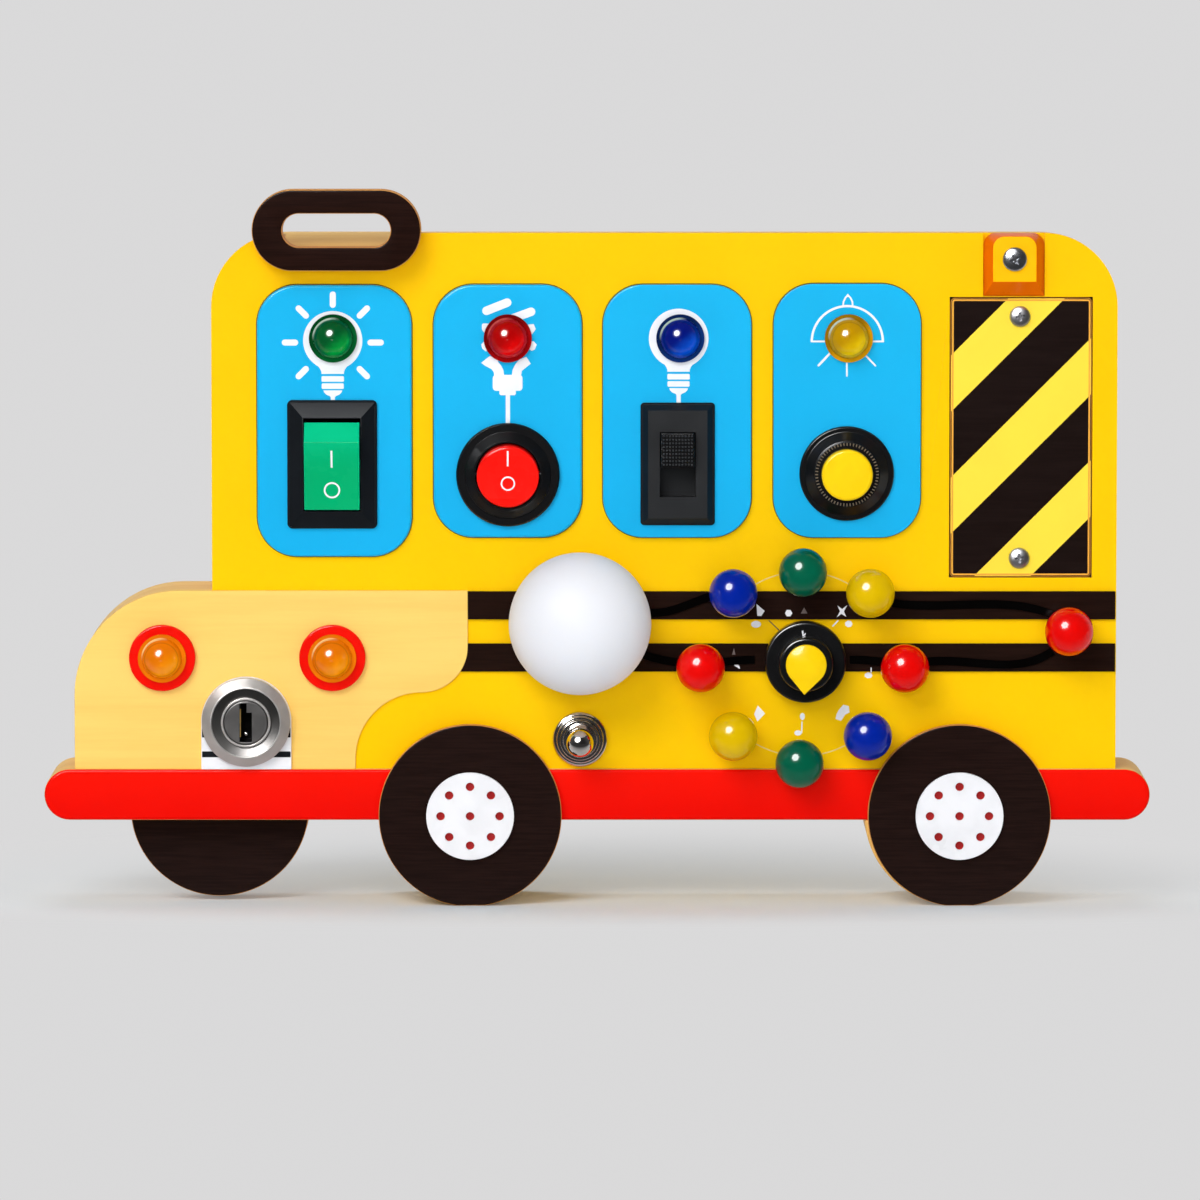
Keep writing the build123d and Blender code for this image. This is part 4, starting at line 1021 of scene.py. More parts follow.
def new_piece(
    name: str,
    vertices: Iterable[Sequence[float]],
    faces: Iterable[Sequence[int]],
    smooth: bool = False,
) -> bpy.types.Object:
    """An object made from points in metres.

    Args:
        name: the piece's name.
        vertices: its points.
        faces: its faces, by point number.
        smooth: whether its faces are shaded smooth.

    Returns:
        The linked object, with its faces turned outwards.
    """
    mesh = bpy.data.meshes.new(name)
    mesh.from_pydata([tuple(v) for v in vertices], [], [tuple(f) for f in faces])
    work = bmesh.new()
    work.from_mesh(mesh)
    bmesh.ops.recalc_face_normals(work, faces=work.faces)
    work.to_mesh(mesh)
    work.free()
    mesh.polygons.foreach_set("use_smooth", [smooth] * len(mesh.polygons))
    piece = bpy.data.objects.new(name, mesh)
    bpy.context.scene.collection.objects.link(piece)
    return piece


def dress(
    piece: bpy.types.Object,
    finish: Finish,
    body: str = ROOT,
    stands_for: Sequence[str] = (),
) -> bpy.types.Object:
    """Gives a piece its material, slot and body.

    Args:
        piece: the object.
        finish: what it is made of.
        body: the CAD body that it rides on.
        stands_for: CAD nodes that it replaces.

    Returns:
        The piece.
    """
    piece.data.materials.clear()
    piece.data.materials.append(material_of(finish))
    if stands_for:
        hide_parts(*stands_for)
    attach(piece, body)
    log.info("%s: %d faces on %s", piece.name, len(piece.data.polygons), body)
    return piece


def baked(piece: bpy.types.Object) -> bpy.types.Object:
    """Applies a piece's modifiers to its mesh.

    Args:
        piece: the piece.

    Returns:
        The same piece, with a plain mesh and no modifiers.
    """
    graph = bpy.context.evaluated_depsgraph_get()
    mesh = bpy.data.meshes.new_from_object(
        piece.evaluated_get(graph), preserve_all_data_layers=True, depsgraph=graph
    )
    old = piece.data
    piece.modifiers.clear()
    piece.data = mesh
    mesh.name = piece.name
    bpy.data.meshes.remove(old)
    return piece


def merged(node: str) -> bmesh.types.BMesh:
    """A CAD node's loose triangles joined at their corners.

    Args:
        node: the CAD node.

    Returns:
        The joined mesh, for the caller to free.
    """
    work = bmesh.new()
    work.from_mesh(frame["nodes"][node].data)
    bmesh.ops.remove_doubles(work, verts=work.verts, dist=WELD)
    return work


def merged_copy(node: str, name: str) -> bpy.types.Object:
    """A CAD node's mesh as one closed skin without flat seams.

    Args:
        node: the CAD node.
        name: the new piece's name.

    Returns:
        The new piece.
    """
    work = merged(node)
    bmesh.ops.dissolve_limit(
        work, angle_limit=FLAT_ANGLE, verts=work.verts, edges=work.edges
    )
    work.verts.index_update()
    points = [v.co.copy() for v in work.verts]
    faces = [[v.index for v in f.verts] for f in work.faces]
    work.free()
    return new_piece(name, points, faces, True)


def softened(
    node: str,
    edge: float,
    finish: Finish | None = None,
    segments: int = 3,
    limit: float = 32.0,
    corner: float = 0.0,
) -> bpy.types.Object:
    """A piece that stands for a CAD node, with its sharp edges rounded.

    Args:
        node: the CAD node.
        edge: radius of the rounding.
        finish: its finish, or None for that of its slot.
        segments: steps in the rounding.
        limit: edges sharper than this angle are rounded.
        corner: radius of the corners that run through the depth.

    Returns:
        The new piece.
    """
    source = frame["nodes"][node]
    slot = slot_of(source)
    piece = merged_copy(node, f"{node}_body")
    if corner:
        work = bmesh.new()
        work.from_mesh(piece.data)
        through = [
            e for e in work.edges
            if abs((e.verts[0].co - e.verts[1].co).normalized().y) > 0.99
            and len(e.link_faces) == 2 and e.calc_face_angle() > math.radians(limit)
        ]
        bmesh.ops.bevel(
            work, geom=through, offset=corner * MM, segments=6, profile=0.5, affect="EDGES"
        )
        work.to_mesh(piece.data)
        work.free()
    rounding = piece.modifiers.new("edge", "BEVEL")
    rounding.width = edge * MM
    rounding.segments = segments
    rounding.limit_method = "ANGLE"
    rounding.angle_limit = math.radians(limit)
    rounding.miter_outer = "MITER_ARC"
    rounding.harden_normals = True
    baked(piece)
    return dress(piece, finish or SLOTS[slot], source["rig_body"], [node])


def turned_piece(
    name: str,
    profile: Sequence[Point],
    centre: Point,
    steps: int = 96,
    closed: bool = True,
) -> bpy.types.Object:
    """A solid of revolution about an axis through the panel.

    Args:
        name: the piece's name.
        profile: (radius, depth) pairs, from one end of the skin to the other.
        centre: the axis, in x and z.
        steps: sides of the circle.
        closed: whether the last pair joins the first.

    Returns:
        The new object.
    """
    points: list[Vector] = []
    rows: list[list[int]] = []
    for radius, depth in profile:
        if radius < 1e-6:
            points.append(place(centre[0], depth, centre[1]))
            rows.append([len(points) - 1] * steps)
            continue
        row = []
        for k in range(steps):
            angle = 2 * math.pi * k / steps
            x = centre[0] + radius * math.cos(angle)
            z = centre[1] + radius * math.sin(angle)
            points.append(place(x, depth, z))
            row.append(len(points) - 1)
        rows.append(row)
    faces = []
    for first, second in zip(rows, rows[1:] + rows[:1] if closed else rows[1:]):
        for k in range(steps):
            n = (k + 1) % steps
            face = list(dict.fromkeys([first[k], first[n], second[n], second[k]]))
            if len(face) > 2:
                faces.append(face)
    return new_piece(name, points, faces, True)


# ------------------------------------------------------------------ prints


def capsule(start: Point, end: Point, width: float, steps: int = 8) -> Outline:
    """A stroke with round ends.

    Args:
        start: middle of one round end.
        end: middle of the other.
        width: the stroke's width.
        steps: how finely each end is rounded.

    Returns:
        The outline.
    """
    lean = math.atan2(end[1] - start[1], end[0] - start[0])
    outline = []
    for point, side in ((end, -0.5), (start, 0.5)):
        for k in range(steps + 1):
            angle = lean + math.pi * (side + k / steps)
            outline.append(
                (point[0] + width / 2 * math.cos(angle), point[1] + width / 2 * math.sin(angle))
            )
    return outline


def oval(centre: Point, across: float, up: float, steps: int = 48) -> Outline:
    """A full oval.

    Args:
        centre: its middle.
        across: its radius from side to side.
        up: its radius upwards.
        steps: number of corners.

    Returns:
        The outline.
    """
    return [
        (
            centre[0] + across * math.cos(2 * math.pi * k / steps),
            centre[1] + up * math.sin(2 * math.pi * k / steps),
        )
        for k in range(steps)
    ]


def rounded_box(low: Point, high: Point, corner: float, steps: int = 5) -> Outline:
    """A box with rounded corners.

    Args:
        low: its lower left corner.
        high: its upper right corner.
        corner: its corner radius.
        steps: how finely each corner is rounded.

    Returns:
        The outline.
    """
    outline = []
    for cx, cz, start in (
        (high[0] - corner, high[1] - corner, 0.0),
        (low[0] + corner, high[1] - corner, 0.5),
        (low[0] + corner, low[1] + corner, 1.0),
        (high[0] - corner, low[1] + corner, 1.5),
    ):
        for k in range(steps + 1):
            angle = math.pi * (start + 0.5 * k / steps)
            outline.append((cx + corner * math.cos(angle), cz + corner * math.sin(angle)))
    return outline


def arc_strip(
    centre: Point, radius: float, width: float, start: float, end: float, steps: int = 48
) -> list[Outline]:
    """An arc's stroke as short four-cornered pieces.

    Args:
        centre: the arc's centre.
        radius: its radius.
        width: the stroke's width.
        start: angle at which it starts, in degrees.
        end: angle at which it ends, in degrees.
        steps: number of pieces.

    Returns:
        The outlines.
    """
    strips = []
    for k in range(steps):
        angles = [math.radians(start + (end - start) * s / steps) for s in (k, k + 1)]
        inner, outer = radius - width / 2, radius + width / 2
        strips.append(
            [
                (centre[0] + r * math.cos(a), centre[1] + r * math.sin(a))
                for r, a in (
                    (outer, angles[0]), (outer, angles[1]), (inner, angles[1]), (inner, angles[0])
                )
            ]
        )
    return strips


def bar_strip(start: Point, end: Point, width: float, steps: int = 10) -> list[Outline]:
    """An upright stroke as short four-cornered pieces.

    Args:
        start: its lower end.
        end: its upper end.
        width: its width.
        steps: number of pieces.

    Returns:
        The outlines.
    """
    cuts = [start[1] + (end[1] - start[1]) * k / steps for k in range(steps + 1)]
    left, right = start[0] - width / 2, start[0] + width / 2
    return [
        [(left, low), (right, low), (right, high), (left, high)]
        for low, high in zip(cuts, cuts[1:])
    ]


def band(low: Point, high: Point, corner: float, inside: float, outside: float) -> list[Outline]:
    """A line round a rounded box, as four-cornered pieces.

    Args:
        low: the box's lower left corner.
        high: its upper right corner.
        corner: its corner radius.
        inside: how far the line reaches into the box.
        outside: how far it reaches out of it.

    Returns:
        The outlines.
    """
    rings = [
        rounded_box(
            (low[0] - by, low[1] - by), (high[0] + by, high[1] + by), corner + by, 10
        )
        for by in (outside, -inside)
    ]
    count = len(rings[0])
    return [
        [rings[0][k], rings[0][(k + 1) % count], rings[1][(k + 1) % count], rings[1][k]]
        for k in range(count)
    ]


def front_box(node: str) -> tuple[Point, Point]:
    """A node's lower left and upper right corners, seen from the front."""
    low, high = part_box(node)
    return (low[0] / MM, low[2] / MM), (high[0] / MM, high[2] / MM)


def shifted(outline: Outline, origin: Point) -> Outline:
    """An outline moved by origin."""
    return [(x + origin[0], z + origin[1]) for x, z in outline]


@lru_cache(maxsize=None)
def skin_of(*nodes: str) -> BVHTree:
    """Joins some CAD nodes' rest meshes for a search of their surface.

    Args:
        nodes: the nodes' names.

    Returns:
        The search tree.
    """
    points: list[Vector] = []
    faces: list[tuple[int, ...]] = []
    for node in nodes:
        mesh = frame["nodes"][node].data
        start = len(points)
        points += [v.co.copy() for v in mesh.vertices]
        faces += [tuple(start + i for i in p.vertices) for p in mesh.polygons]
    return BVHTree.FromPolygons(points, faces)


def depth_of(x: float, z: float, nodes: Sequence[str], missing: float) -> float:
    """Depth of the frontmost surface of the nodes at a front-view point."""
    hit = skin_of(*nodes).ray_cast(Vector((x * MM, -0.2, z * MM)), Vector((0, 1, 0)))[0]
    return missing if hit is None else hit.y / MM - FACE_Y


HAIR = 0.002  # keeps plates that overlap from lying in one plane
SUNK = 0.03  # how deep a plate's back lies under the surface


def plates(
    outlines: Sequence[Outline],
    depth_at: Callable[[float, float, float, float], float],
    thickness: float,
) -> tuple[list[Vector], list[list[int]]]:
    """Thin closed plates, each a hair prouder than the one before it, in turns of twelve.

    Args:
        outlines: the shapes, in x and z.
        depth_at: the surface's depth at x and z of a shape with that middle.
        thickness: how far the first stands proud.

    Returns:
        Points and faces.
    """
    points: list[Vector] = []
    faces: list[list[int]] = []
    for number, outline in enumerate(outlines):
        cx = sum(p[0] for p in outline) / len(outline)
        cz = sum(p[1] for p in outline) / len(outline)
        start, count = len(points), len(outline)
        for lift in (-thickness - HAIR * (number % 12), SUNK):
            points += [place(x, depth_at(x, z, cx, cz) + lift, z) for x, z in outline]
        faces.append([start + k for k in range(count)])
        faces.append([start + count + k for k in reversed(range(count))])
        for k in range(count):
            n = (k + 1) % count
            faces.append([start + k, start + n, start + count + n, start + count + k])
    return points, faces


def flat_plates(
    name: str, outlines: Sequence[Outline], depth: float, thickness: float
) -> bpy.types.Object:
    """Thin closed plates at one depth, as a piece.

    Args:
        name: the piece's name.
        outlines: the shapes, in x and z.
        depth: the surface's depth.
        thickness: how far the first stands proud.

    Returns:
        The new piece.
    """
    return new_piece(name, *plates(outlines, lambda *_: depth, thickness))


def print_on(
    name: str,
    outlines: Sequence[Outline],
    nodes: Sequence[str],
    finish: Finish,
    body: str = ROOT,
    thickness: float = 0.045,
    draped: bool = False,
) -> bpy.types.Object:
    """Ink laid on a surface as thin closed plates.

    Args:
        name: the piece's name.
        outlines: the shapes, in x and z.
        nodes: CAD nodes that carry the ink.
        finish: the ink.
        body: the CAD body that it rides on.
        thickness: how far it stands proud.
        draped: whether each point follows the surface, or each shape is flat.

    Returns:
        The new piece.
    """
    def depth_at(x: float, z: float, cx: float, cz: float) -> float:
        """The surface's depth under a point of the ink."""
        middle = depth_of(cx, cz, nodes, 0.0)
        return depth_of(x, z, nodes, middle) if draped else middle

    points, faces = plates(outlines, depth_at, thickness)
    return dress(new_piece(name, points, faces), finish, body)


# ---------------------------------------------------------- repeated parts


class Pattern(Tree):
    """A Geometry Nodes tree that places copies of a small solid."""

    def __init__(self, name: str, sizes: dict[str, float | int]) -> None:
        """Starts a tree with named inputs.

        Args:
            name: the tree's name.
            sizes: each input's name and value; a whole number makes a count.
        """
        group = bpy.data.node_groups.new(name, "GeometryNodeTree")
        group.is_modifier = True
        super().__init__(group)
        self.sizes = sizes
        self.keys: dict[str, str] = {}
        group.interface.new_socket("Geometry", in_out="INPUT", socket_type="NodeSocketGeometry")
        group.interface.new_socket("Geometry", in_out="OUTPUT", socket_type="NodeSocketGeometry")
        for label, value in sizes.items():
            kind = "NodeSocketInt" if isinstance(value, int) else "NodeSocketFloat"
            socket = group.interface.new_socket(label, in_out="INPUT", socket_type=kind)
            self.keys[label] = socket.identifier
        self.source = self.node("NodeGroupInput")

    def size(self, label: str) -> Signal:
        """A named input inside the tree."""
        return self.out(self.source, label)

    def spread(self, points: object, solid: object, **more: object) -> bpy.types.NodeSocket:
        """Copies of a solid at each point.

        Args:
            points: the points.
            solid: the solid.
            **more: other inputs of the node, by name.

        Returns:
            The instances.
        """
        inputs = {"Points": points, "Instance": solid, **more}
        return self.node("GeometryNodeInstanceOnPoints", {}, inputs).outputs[0]

    def grow(
        self,
        name: str,
        copies: bpy.types.NodeSocket,
        finish: Finish,
        turn: Sequence[float] = (0.0, 0.0, 0.0),
        move: Sequence[float] = (0.0, 0.0, 0.0),
        spots: Sequence[Vector] = (),
    ) -> bpy.types.Object:
        """Ends the tree, runs it and keeps its plain mesh.

        Args:
            name: the new piece's name.
            copies: the instances.
            finish: the material that the tree sets.
            turn: how the whole is turned.
            move: where the whole goes, in metres.
            spots: points of the mesh that the tree starts from.

        Returns:
            The new object.
        """
        whole = self.node(
            "GeometryNodeTransform", {},
            {"Geometry": copies, "Rotation": tuple(turn), "Translation": tuple(move)},
        )
        real = self.node("GeometryNodeRealizeInstances", {}, {0: whole.outputs[0]})
        skin = self.node(
            "GeometryNodeSetMaterial", {},
            {"Geometry": real.outputs[0], "Material": material_of(finish)},
        )
        self.node("NodeGroupOutput", {}, {0: skin.outputs[0]})
        piece = bpy.data.objects.new(name, bpy.data.meshes.new(name))
        piece.data.from_pydata([tuple(spot) for spot in spots], [], [])
        bpy.context.scene.collection.objects.link(piece)
        maker = piece.modifiers.new("pattern", "NODES")
        maker.node_group = self.tree
        for label, value in self.sizes.items():
            maker[self.keys[label]] = value
        return baked(piece)


def ring_of_blocks(
    name: str,
    count: int,
    radius: float,
    block: tuple[float, float, float],
    centre: Point,
    depth: float,
    finish: Finish,
) -> bpy.types.Object:
    """Small blocks at equal steps round a circle that faces the front.

    Args:
        name: the piece's name.
        count: number of blocks.
        radius: circle through their middles.
        block: a block's size outwards, along the circle and through the depth.
        centre: the circle's centre in x and z.
        depth: depth of the blocks' middles.
        finish: their finish.

    Returns:
        The new object.
    """
    pattern = Pattern(
        f"{name}_pattern",
        {"Count": count, "Radius": radius * MM, "Outwards": block[0] * MM,
         "Along": block[1] * MM, "Deep": block[2] * MM},
    )
    circle = pattern.node(
        "GeometryNodeMeshCircle", {},
        {"Vertices": pattern.size("Count"), "Radius": pattern.size("Radius")},
    )
    size = pattern.joined(*(pattern.size(side) for side in ("Outwards", "Along", "Deep")))
    cube = pattern.node("GeometryNodeMeshCube", {}, {"Size": size})
    index = pattern.out(pattern.node("GeometryNodeInputIndex"))
    angle = index * (2 * math.pi / pattern.size("Count"))
    copies = pattern.spread(
        circle.outputs[0], cube.outputs[0], Rotation=pattern.joined(0.0, 0.0, angle)
    )
    return pattern.grow(name, copies, finish, FACING_FRONT, place(centre[0], depth, centre[1]))


def field_of_studs(
    name: str,
    columns: int,
    rows: int,
    area: tuple[float, float],
    stud: tuple[float, float],
    centre: Point,
    depth: float,
    finish: Finish,
) -> bpy.types.Object:
    """Four-sided studs in rows and columns that face the front.

    Args:
        name: the piece's name.
        columns: studs in a row.
        rows: number of rows.
        area: width and height between the outer studs' middles.
        stud: a stud's half width and its height.
        centre: the field's middle in x and z.
        depth: depth of the studs' feet.
        finish: their finish.

    Returns:
        The new object.
    """
    pattern = Pattern(
        f"{name}_pattern",
        {"Columns": columns, "Rows": rows, "Width": area[0] * MM, "Height": area[1] * MM,
         "Foot": stud[0] * math.sqrt(2) * MM, "Rise": stud[1] * MM},
    )
    grid = pattern.node(
        "GeometryNodeMeshGrid", {},
        {"Size X": pattern.size("Width"), "Size Y": pattern.size("Height"),
         "Vertices X": pattern.size("Columns"), "Vertices Y": pattern.size("Rows")},
    )
    foot = pattern.size("Foot")
    cone = pattern.node(
        "GeometryNodeMeshCone", {},
        {"Vertices": 4, "Radius Top": foot * STUD_TAPER, "Radius Bottom": foot,
         "Depth": pattern.size("Rise")},
    )
    copies = pattern.spread(
        grid.outputs[0], cone.outputs[0], Rotation=(0.0, 0.0, math.pi / 4)
    )
    return pattern.grow(name, copies, finish, FACING_FRONT, place(centre[0], depth, centre[1]))


def copies_at(
    name: str, source: bpy.types.Object, spots: Sequence[Vector], finish: Finish
) -> bpy.types.Object:
    """Copies of one small solid at each spot, as one plain mesh.

    Args:
        name: the piece's name.
        source: the solid, which is removed.
        spots: where its copies go, in metres.
        finish: their finish.

    Returns:
        The new object.
    """
    pattern = Pattern(f"{name}_pattern", {"Size": 1.0})
    shape = pattern.node(
        "GeometryNodeObjectInfo", {"transform_space": "ORIGINAL"}, {"Object": source}
    )
    size = pattern.size("Size")
    copies = pattern.spread(
        pattern.size("Geometry"), shape.outputs["Geometry"], Scale=pattern.joined(size, size, size)
    )
    piece = pattern.grow(name, copies, finish, spots=spots)
    bpy.data.objects.remove(source)
    piece.data.set_sharp_from_angle(angle=SHARP_ANGLE)
    return piece


def islands(node: str) -> list[tuple[Vector, Vector]]:
    """Finds the loose solids of a CAD node.

    Args:
        node: the CAD node.

    Returns:
        Each solid's lowest and highest corners, in order along x.
    """
    work = merged(node)
    boxes = []
    left = set(work.verts)
    while left:
        front = [left.pop()]
        group = []
        while front:
            vertex = front.pop()
            group.append(vertex.co.copy())
            for edge in vertex.link_edges:
                other = edge.other_vert(vertex)
                if other in left:
                    left.remove(other)
                    front.append(other)
        boxes.append(
            (
                Vector([min(co[i] for co in group) for i in range(3)]),
                Vector([max(co[i] for co in group) for i in range(3)]),
            )
        )
    work.free()
    return sorted(boxes, key=lambda box: tuple(box[0]))


# ------------------------------------------------------------ sub-assemblies


@dataclass
class CrossScrews:
    """The screws of one node, with a cross recess in each head."""

    node: str
    shank: float
    lean: float
    rise: float = 1.6
    sunk: bool = False
    finish: Metal = SCREW_STEEL
    arms: tuple[tuple[float, float, float], ...] = (  # depth, and two shares of the radius
        (-0.6, 0.60, 0.155), (1.05, 0.26, 0.09),
    )

    def bar(self, radius: float, turn: float, face: float, way: float) -> bpy.types.Object:
        """One arm pair of the cross, tapering into the head.

        Args:
            radius: the head's radius.
            turn: its angle, in degrees.
            face: depth of the head's front.
            way: 1 when the head's inside lies at greater depth, else -1.

        Returns:
            The solid to cut out.
        """
        points = []
        lean = math.radians(turn)
        for depth, long, wide in self.arms:
            for along, across in ((-1, -1), (1, -1), (1, 1), (-1, 1)):
                x, z = along * long * radius, across * wide * radius
                points.append(
                    place(
                        x * math.cos(lean) - z * math.sin(lean), face + way * depth,
                        x * math.sin(lean) + z * math.cos(lean),
                    )
                )
        faces = [(0, 1, 2, 3), (7, 6, 5, 4)]
        faces += [(k, (k + 1) % 4, 4 + (k + 1) % 4, 4 + k) for k in range(4)]
        return new_piece("drive", points, faces)

    def build(self) -> None:
        """Turns one screw, cuts its cross and copies it to every place."""
        boxes = islands(self.node)
        low, high = boxes[0]
        radius = (high.x - low.x) / 2 / MM
        front, back = low.y / MM - FACE_Y, high.y / MM - FACE_Y
        if self.sunk:
            face, way = back, -1.0
            profile = [
                (0.0, back), (radius * 0.97, back), (radius, back - 0.08),
                (self.shank, back - radius + self.shank), (self.shank, front + 1.0),
                (0.0, front),
            ]
        else:
            face, way = front, 1.0
            dome = [
                (math.sin(math.radians(a)), 1 - math.cos(math.radians(a)))
                for a in range(0, 91, 9)
            ]
            profile = [(radius * s, front + self.rise * 0.8 * c) for s, c in dome]
            profile += [
                (radius, front + self.rise), (self.shank, front + self.rise),
                (self.shank, back - 0.8), (0.0, back),
            ]
        screw = turned_piece("screw", profile, (0.0, 0.0), 48, closed=False)
        for turn in (self.lean, self.lean + 90.0):
            knife = screw.modifiers.new("cut", "BOOLEAN")
            knife.object = self.bar(radius, turn, face, way)
            knife.operation = "DIFFERENCE"
            knife.solver = "EXACT"
        cutters = [m.object for m in screw.modifiers]
        baked(screw)
        for cutter in cutters:
            bpy.data.objects.remove(cutter)
        spots = [
            Vector(((lo.x + hi.x) / 2, 0.0, (lo.z + hi.z) / 2)) for lo, hi in boxes
        ]
        piece = copies_at(f"{self.node}_heads", screw, spots, self.finish)
        dress(piece, self.finish, ROOT, [self.node])


@dataclass
class WoodenBox:
    """The hollow box: frame, back, feet and the painted front boards."""

    edges: dict[str, tuple[float, int]] = field(
        default_factory=lambda: {  # each node's rounding radius and its steps
            "box_frame": (0.5, 2), "back_panel": (0.5, 2), "foot_blocks": (0.5, 2),
            "front_panel": (0.55, 3), "hood_face": (0.3, 3), "bumper": (0.9, 3),
            "side_stripes": (0.25, 2), "wheel_left": (0.55, 3), "wheel_right": (0.55, 3),
            "half_wheel": (0.5, 3), "hub_caps": (0.16, 3), "grille_plate": (0.15, 3),
            "globe_base": (0.3, 2),
        }
    )

    def build(self) -> None:
        """Rounds the boards' edges and makes the back's screws."""
        for node, (edge, steps) in self.edges.items():
            softened(node, edge, segments=steps)
        CrossScrews("back_screws", 1.2, 30.0, sunk=True).build()


@dataclass
class WindowRow:
    """The four blue windows with their white pictograms."""

    edge: float = 1.0
    corner: float = 10.8
    face: float = -1.5
    ray: tuple[float, float] = (1.4, 1.65)  # a ray's half length and its width
    rays: list[tuple[float, float, float]] = field(
        default_factory=lambda: [  # each ray's middle from the bulb's, and its lean
            (0.05, 11.1, 90.0), (-11.55, -0.5, 0.0), (11.6, -0.5, 0.0), (-8.2, 7.75, 135.0),
            (8.3, 7.75, 45.0), (-8.25, -8.65, 45.0), (8.25, -8.65, 135.0),
        ]
    )

    def bulb(self, centre: Point, radius: float, drop: float) -> list[Outline]:
        """A solid bulb with three cap rings and a lead.

        Args:
            centre: middle of the round part.
            radius: its radius.
            drop: how far below it the lead ends.

        Returns:
            The outlines.
        """
        neck = [(-3.95, -6.9), (-3.35, -7.75), (-3.05, -8.5), (-3.05, -9.0), (3.0, -9.0),
                (3.0, -8.5), (3.3, -7.75), (3.9, -6.9), (3.0, -3.0), (-3.0, -3.0)]
        cap = [(-2.55, -13.45), (2.55, -13.45), (2.35, -14.0), (1.75, -14.6), (0.9, -14.95),
               (0.58, -15.3), (0.56, -drop), (-0.56, -drop), (-0.58, -15.3), (-0.9, -14.95),
               (-1.75, -14.6), (-2.35, -14.0)]
        return [
            oval(centre, radius, radius, 96),
            shifted(neck, centre),
            shifted(rounded_box((-3.05, -11.1), (3.0, -9.6), 0.3), centre),
            shifted(rounded_box((-3.0, -13.05), (2.95, -11.55), 0.3), centre),
            shifted(cap, centre),
        ]

    def bright_bulb(self) -> list[Outline]:
        """The first window's bulb with its seven rays.

        Returns:
            The outlines.
        """
        centre = (-71.4, 153.25)
        outlines = self.bulb(centre, 8.0, 16.2)
        for x, z, lean in self.rays:
            dx = self.ray[0] * math.cos(math.radians(lean))
            dz = self.ray[0] * math.sin(math.radians(lean))
            outlines.append(
                capsule(
                    (centre[0] + x - dx, centre[1] + z - dz),
                    (centre[0] + x + dx, centre[1] + z + dz),
                    self.ray[1],
                )
            )
        return outlines

    def spiral_lamp(self) -> list[Outline]:
        """The second window's folded tube lamp.

        Returns:
            The outlines.
        """
        origin = (-23.9, 153.7)
        shapes = [
            capsule((-5.96, 7.62), (-0.36, 9.85), 2.3),
            capsule((1.2, 5.6), (6.1, 7.38), 2.3),
            [(-7.2, 3.9), (-6.9, 4.2), (-3.9, 4.2), (-5.0, 1.4), (-6.4, 1.4), (-7.2, 2.6)],
            [(4.8, 1.4), (6.4, 1.3), (7.35, 2.7), (6.8, 4.05), (5.4, 3.95), (4.0, 3.0)],
            [(-6.6, -0.6), (-7.4, -1.5), (-7.1, -2.6), (-6.1, -3.4), (-4.8, -2.4), (-5.2, -0.6)],
            [(6.8, -0.6), (7.6, -1.5), (7.1, -2.85), (6.2, -3.2), (4.8, -2.2), (5.2, -0.6)],
            [(-5.1, -4.6), (-7.4, -6.45), (-6.3, -7.25), (-4.6, -8.15), (-4.0, -9.0),
             (-3.9, -9.95), (-1.2, -9.95), (-1.4, -8.4), (-2.0, -7.2), (-2.8, -6.2), (-3.0, -5.2)],
            [(4.8, -4.8), (6.0, -6.7), (4.7, -7.7), (3.6, -8.6), (3.35, -9.95), (0.85, -9.95),
             (1.1, -8.3), (1.8, -6.9), (2.8, -5.6)],
            rounded_box((-4.28, -14.0), (3.76, -9.7), 0.9),
            rounded_box((-2.5, -15.2), (1.95, -13.6), 0.5),
            rounded_box((-0.78, -24.0), (0.38, -14.9), 0.1),
        ]
        return [shifted(shape, origin) for shape in shapes]

    def hanging_lamp(self) -> list[Outline]:
        """The fourth window's shade on a loop, in thin lines.

        Returns:
            The outlines.
        """
        centre = (67.6, 153.0)
        shapes = arc_strip((0, 0), 9.6, 0.62, 0.0, 180.0, 64)
        loop = [(-1.2, 9.5), (-1.05, 10.8), (-0.5, 11.9), (0.12, 12.5), (0.8, 11.9),
                (1.35, 10.8), (1.45, 9.5)]
        shapes += [capsule(a, b, 0.44, 4) for a, b in zip(loop, loop[1:])]
        shapes += [
            capsule((-9.7, 0.05), (9.7, 0.05), 0.48, 4),
            capsule((-4.7, -3.2), (-7.75, -6.45), 0.6, 4),
            capsule((5.2, -4.0), (7.6, -6.5), 0.5, 4),
            capsule((-0.1, -5.9), (-0.1, -9.3), 0.48, 4),
            [(-0.35, 12.4), (0.12, 13.0), (0.6, 12.4), (0.12, 12.1)],
        ]
        return [shifted(shape, centre) for shape in shapes]

    def build(self) -> None:
        """Makes the windows and lays the pictograms on them."""
        prints: dict[str, list[Outline]] = {
            "window_rocker": self.bright_bulb(),
            "window_round": self.spiral_lamp(),
            "window_slide": self.bulb((22.05, 153.85), 8.05, 17.6),
            "window_push": self.hanging_lamp(),
        }
        for node, outlines in prints.items():
            softened(node, self.edge, segments=5)
            # A dark line round each window: its joint and painted shade.
            seam = band(*front_box(node), self.corner, -0.02, 0.26)
            print_on(f"{node}_seam", seam, ["front_panel"], SEAM_AND_SHADE, thickness=0.03)
            picture = flat_plates(f"{node}_picture", outlines, self.face, 0.05)
            dress(picture, WHITE_INK)


@dataclass
class Headlights:
    """The red rings round the two headlights."""

    edge: float = 0.5

    def build(self) -> None:
        """Rounds the rings' edges."""
        softened("headlight_rings", self.edge)


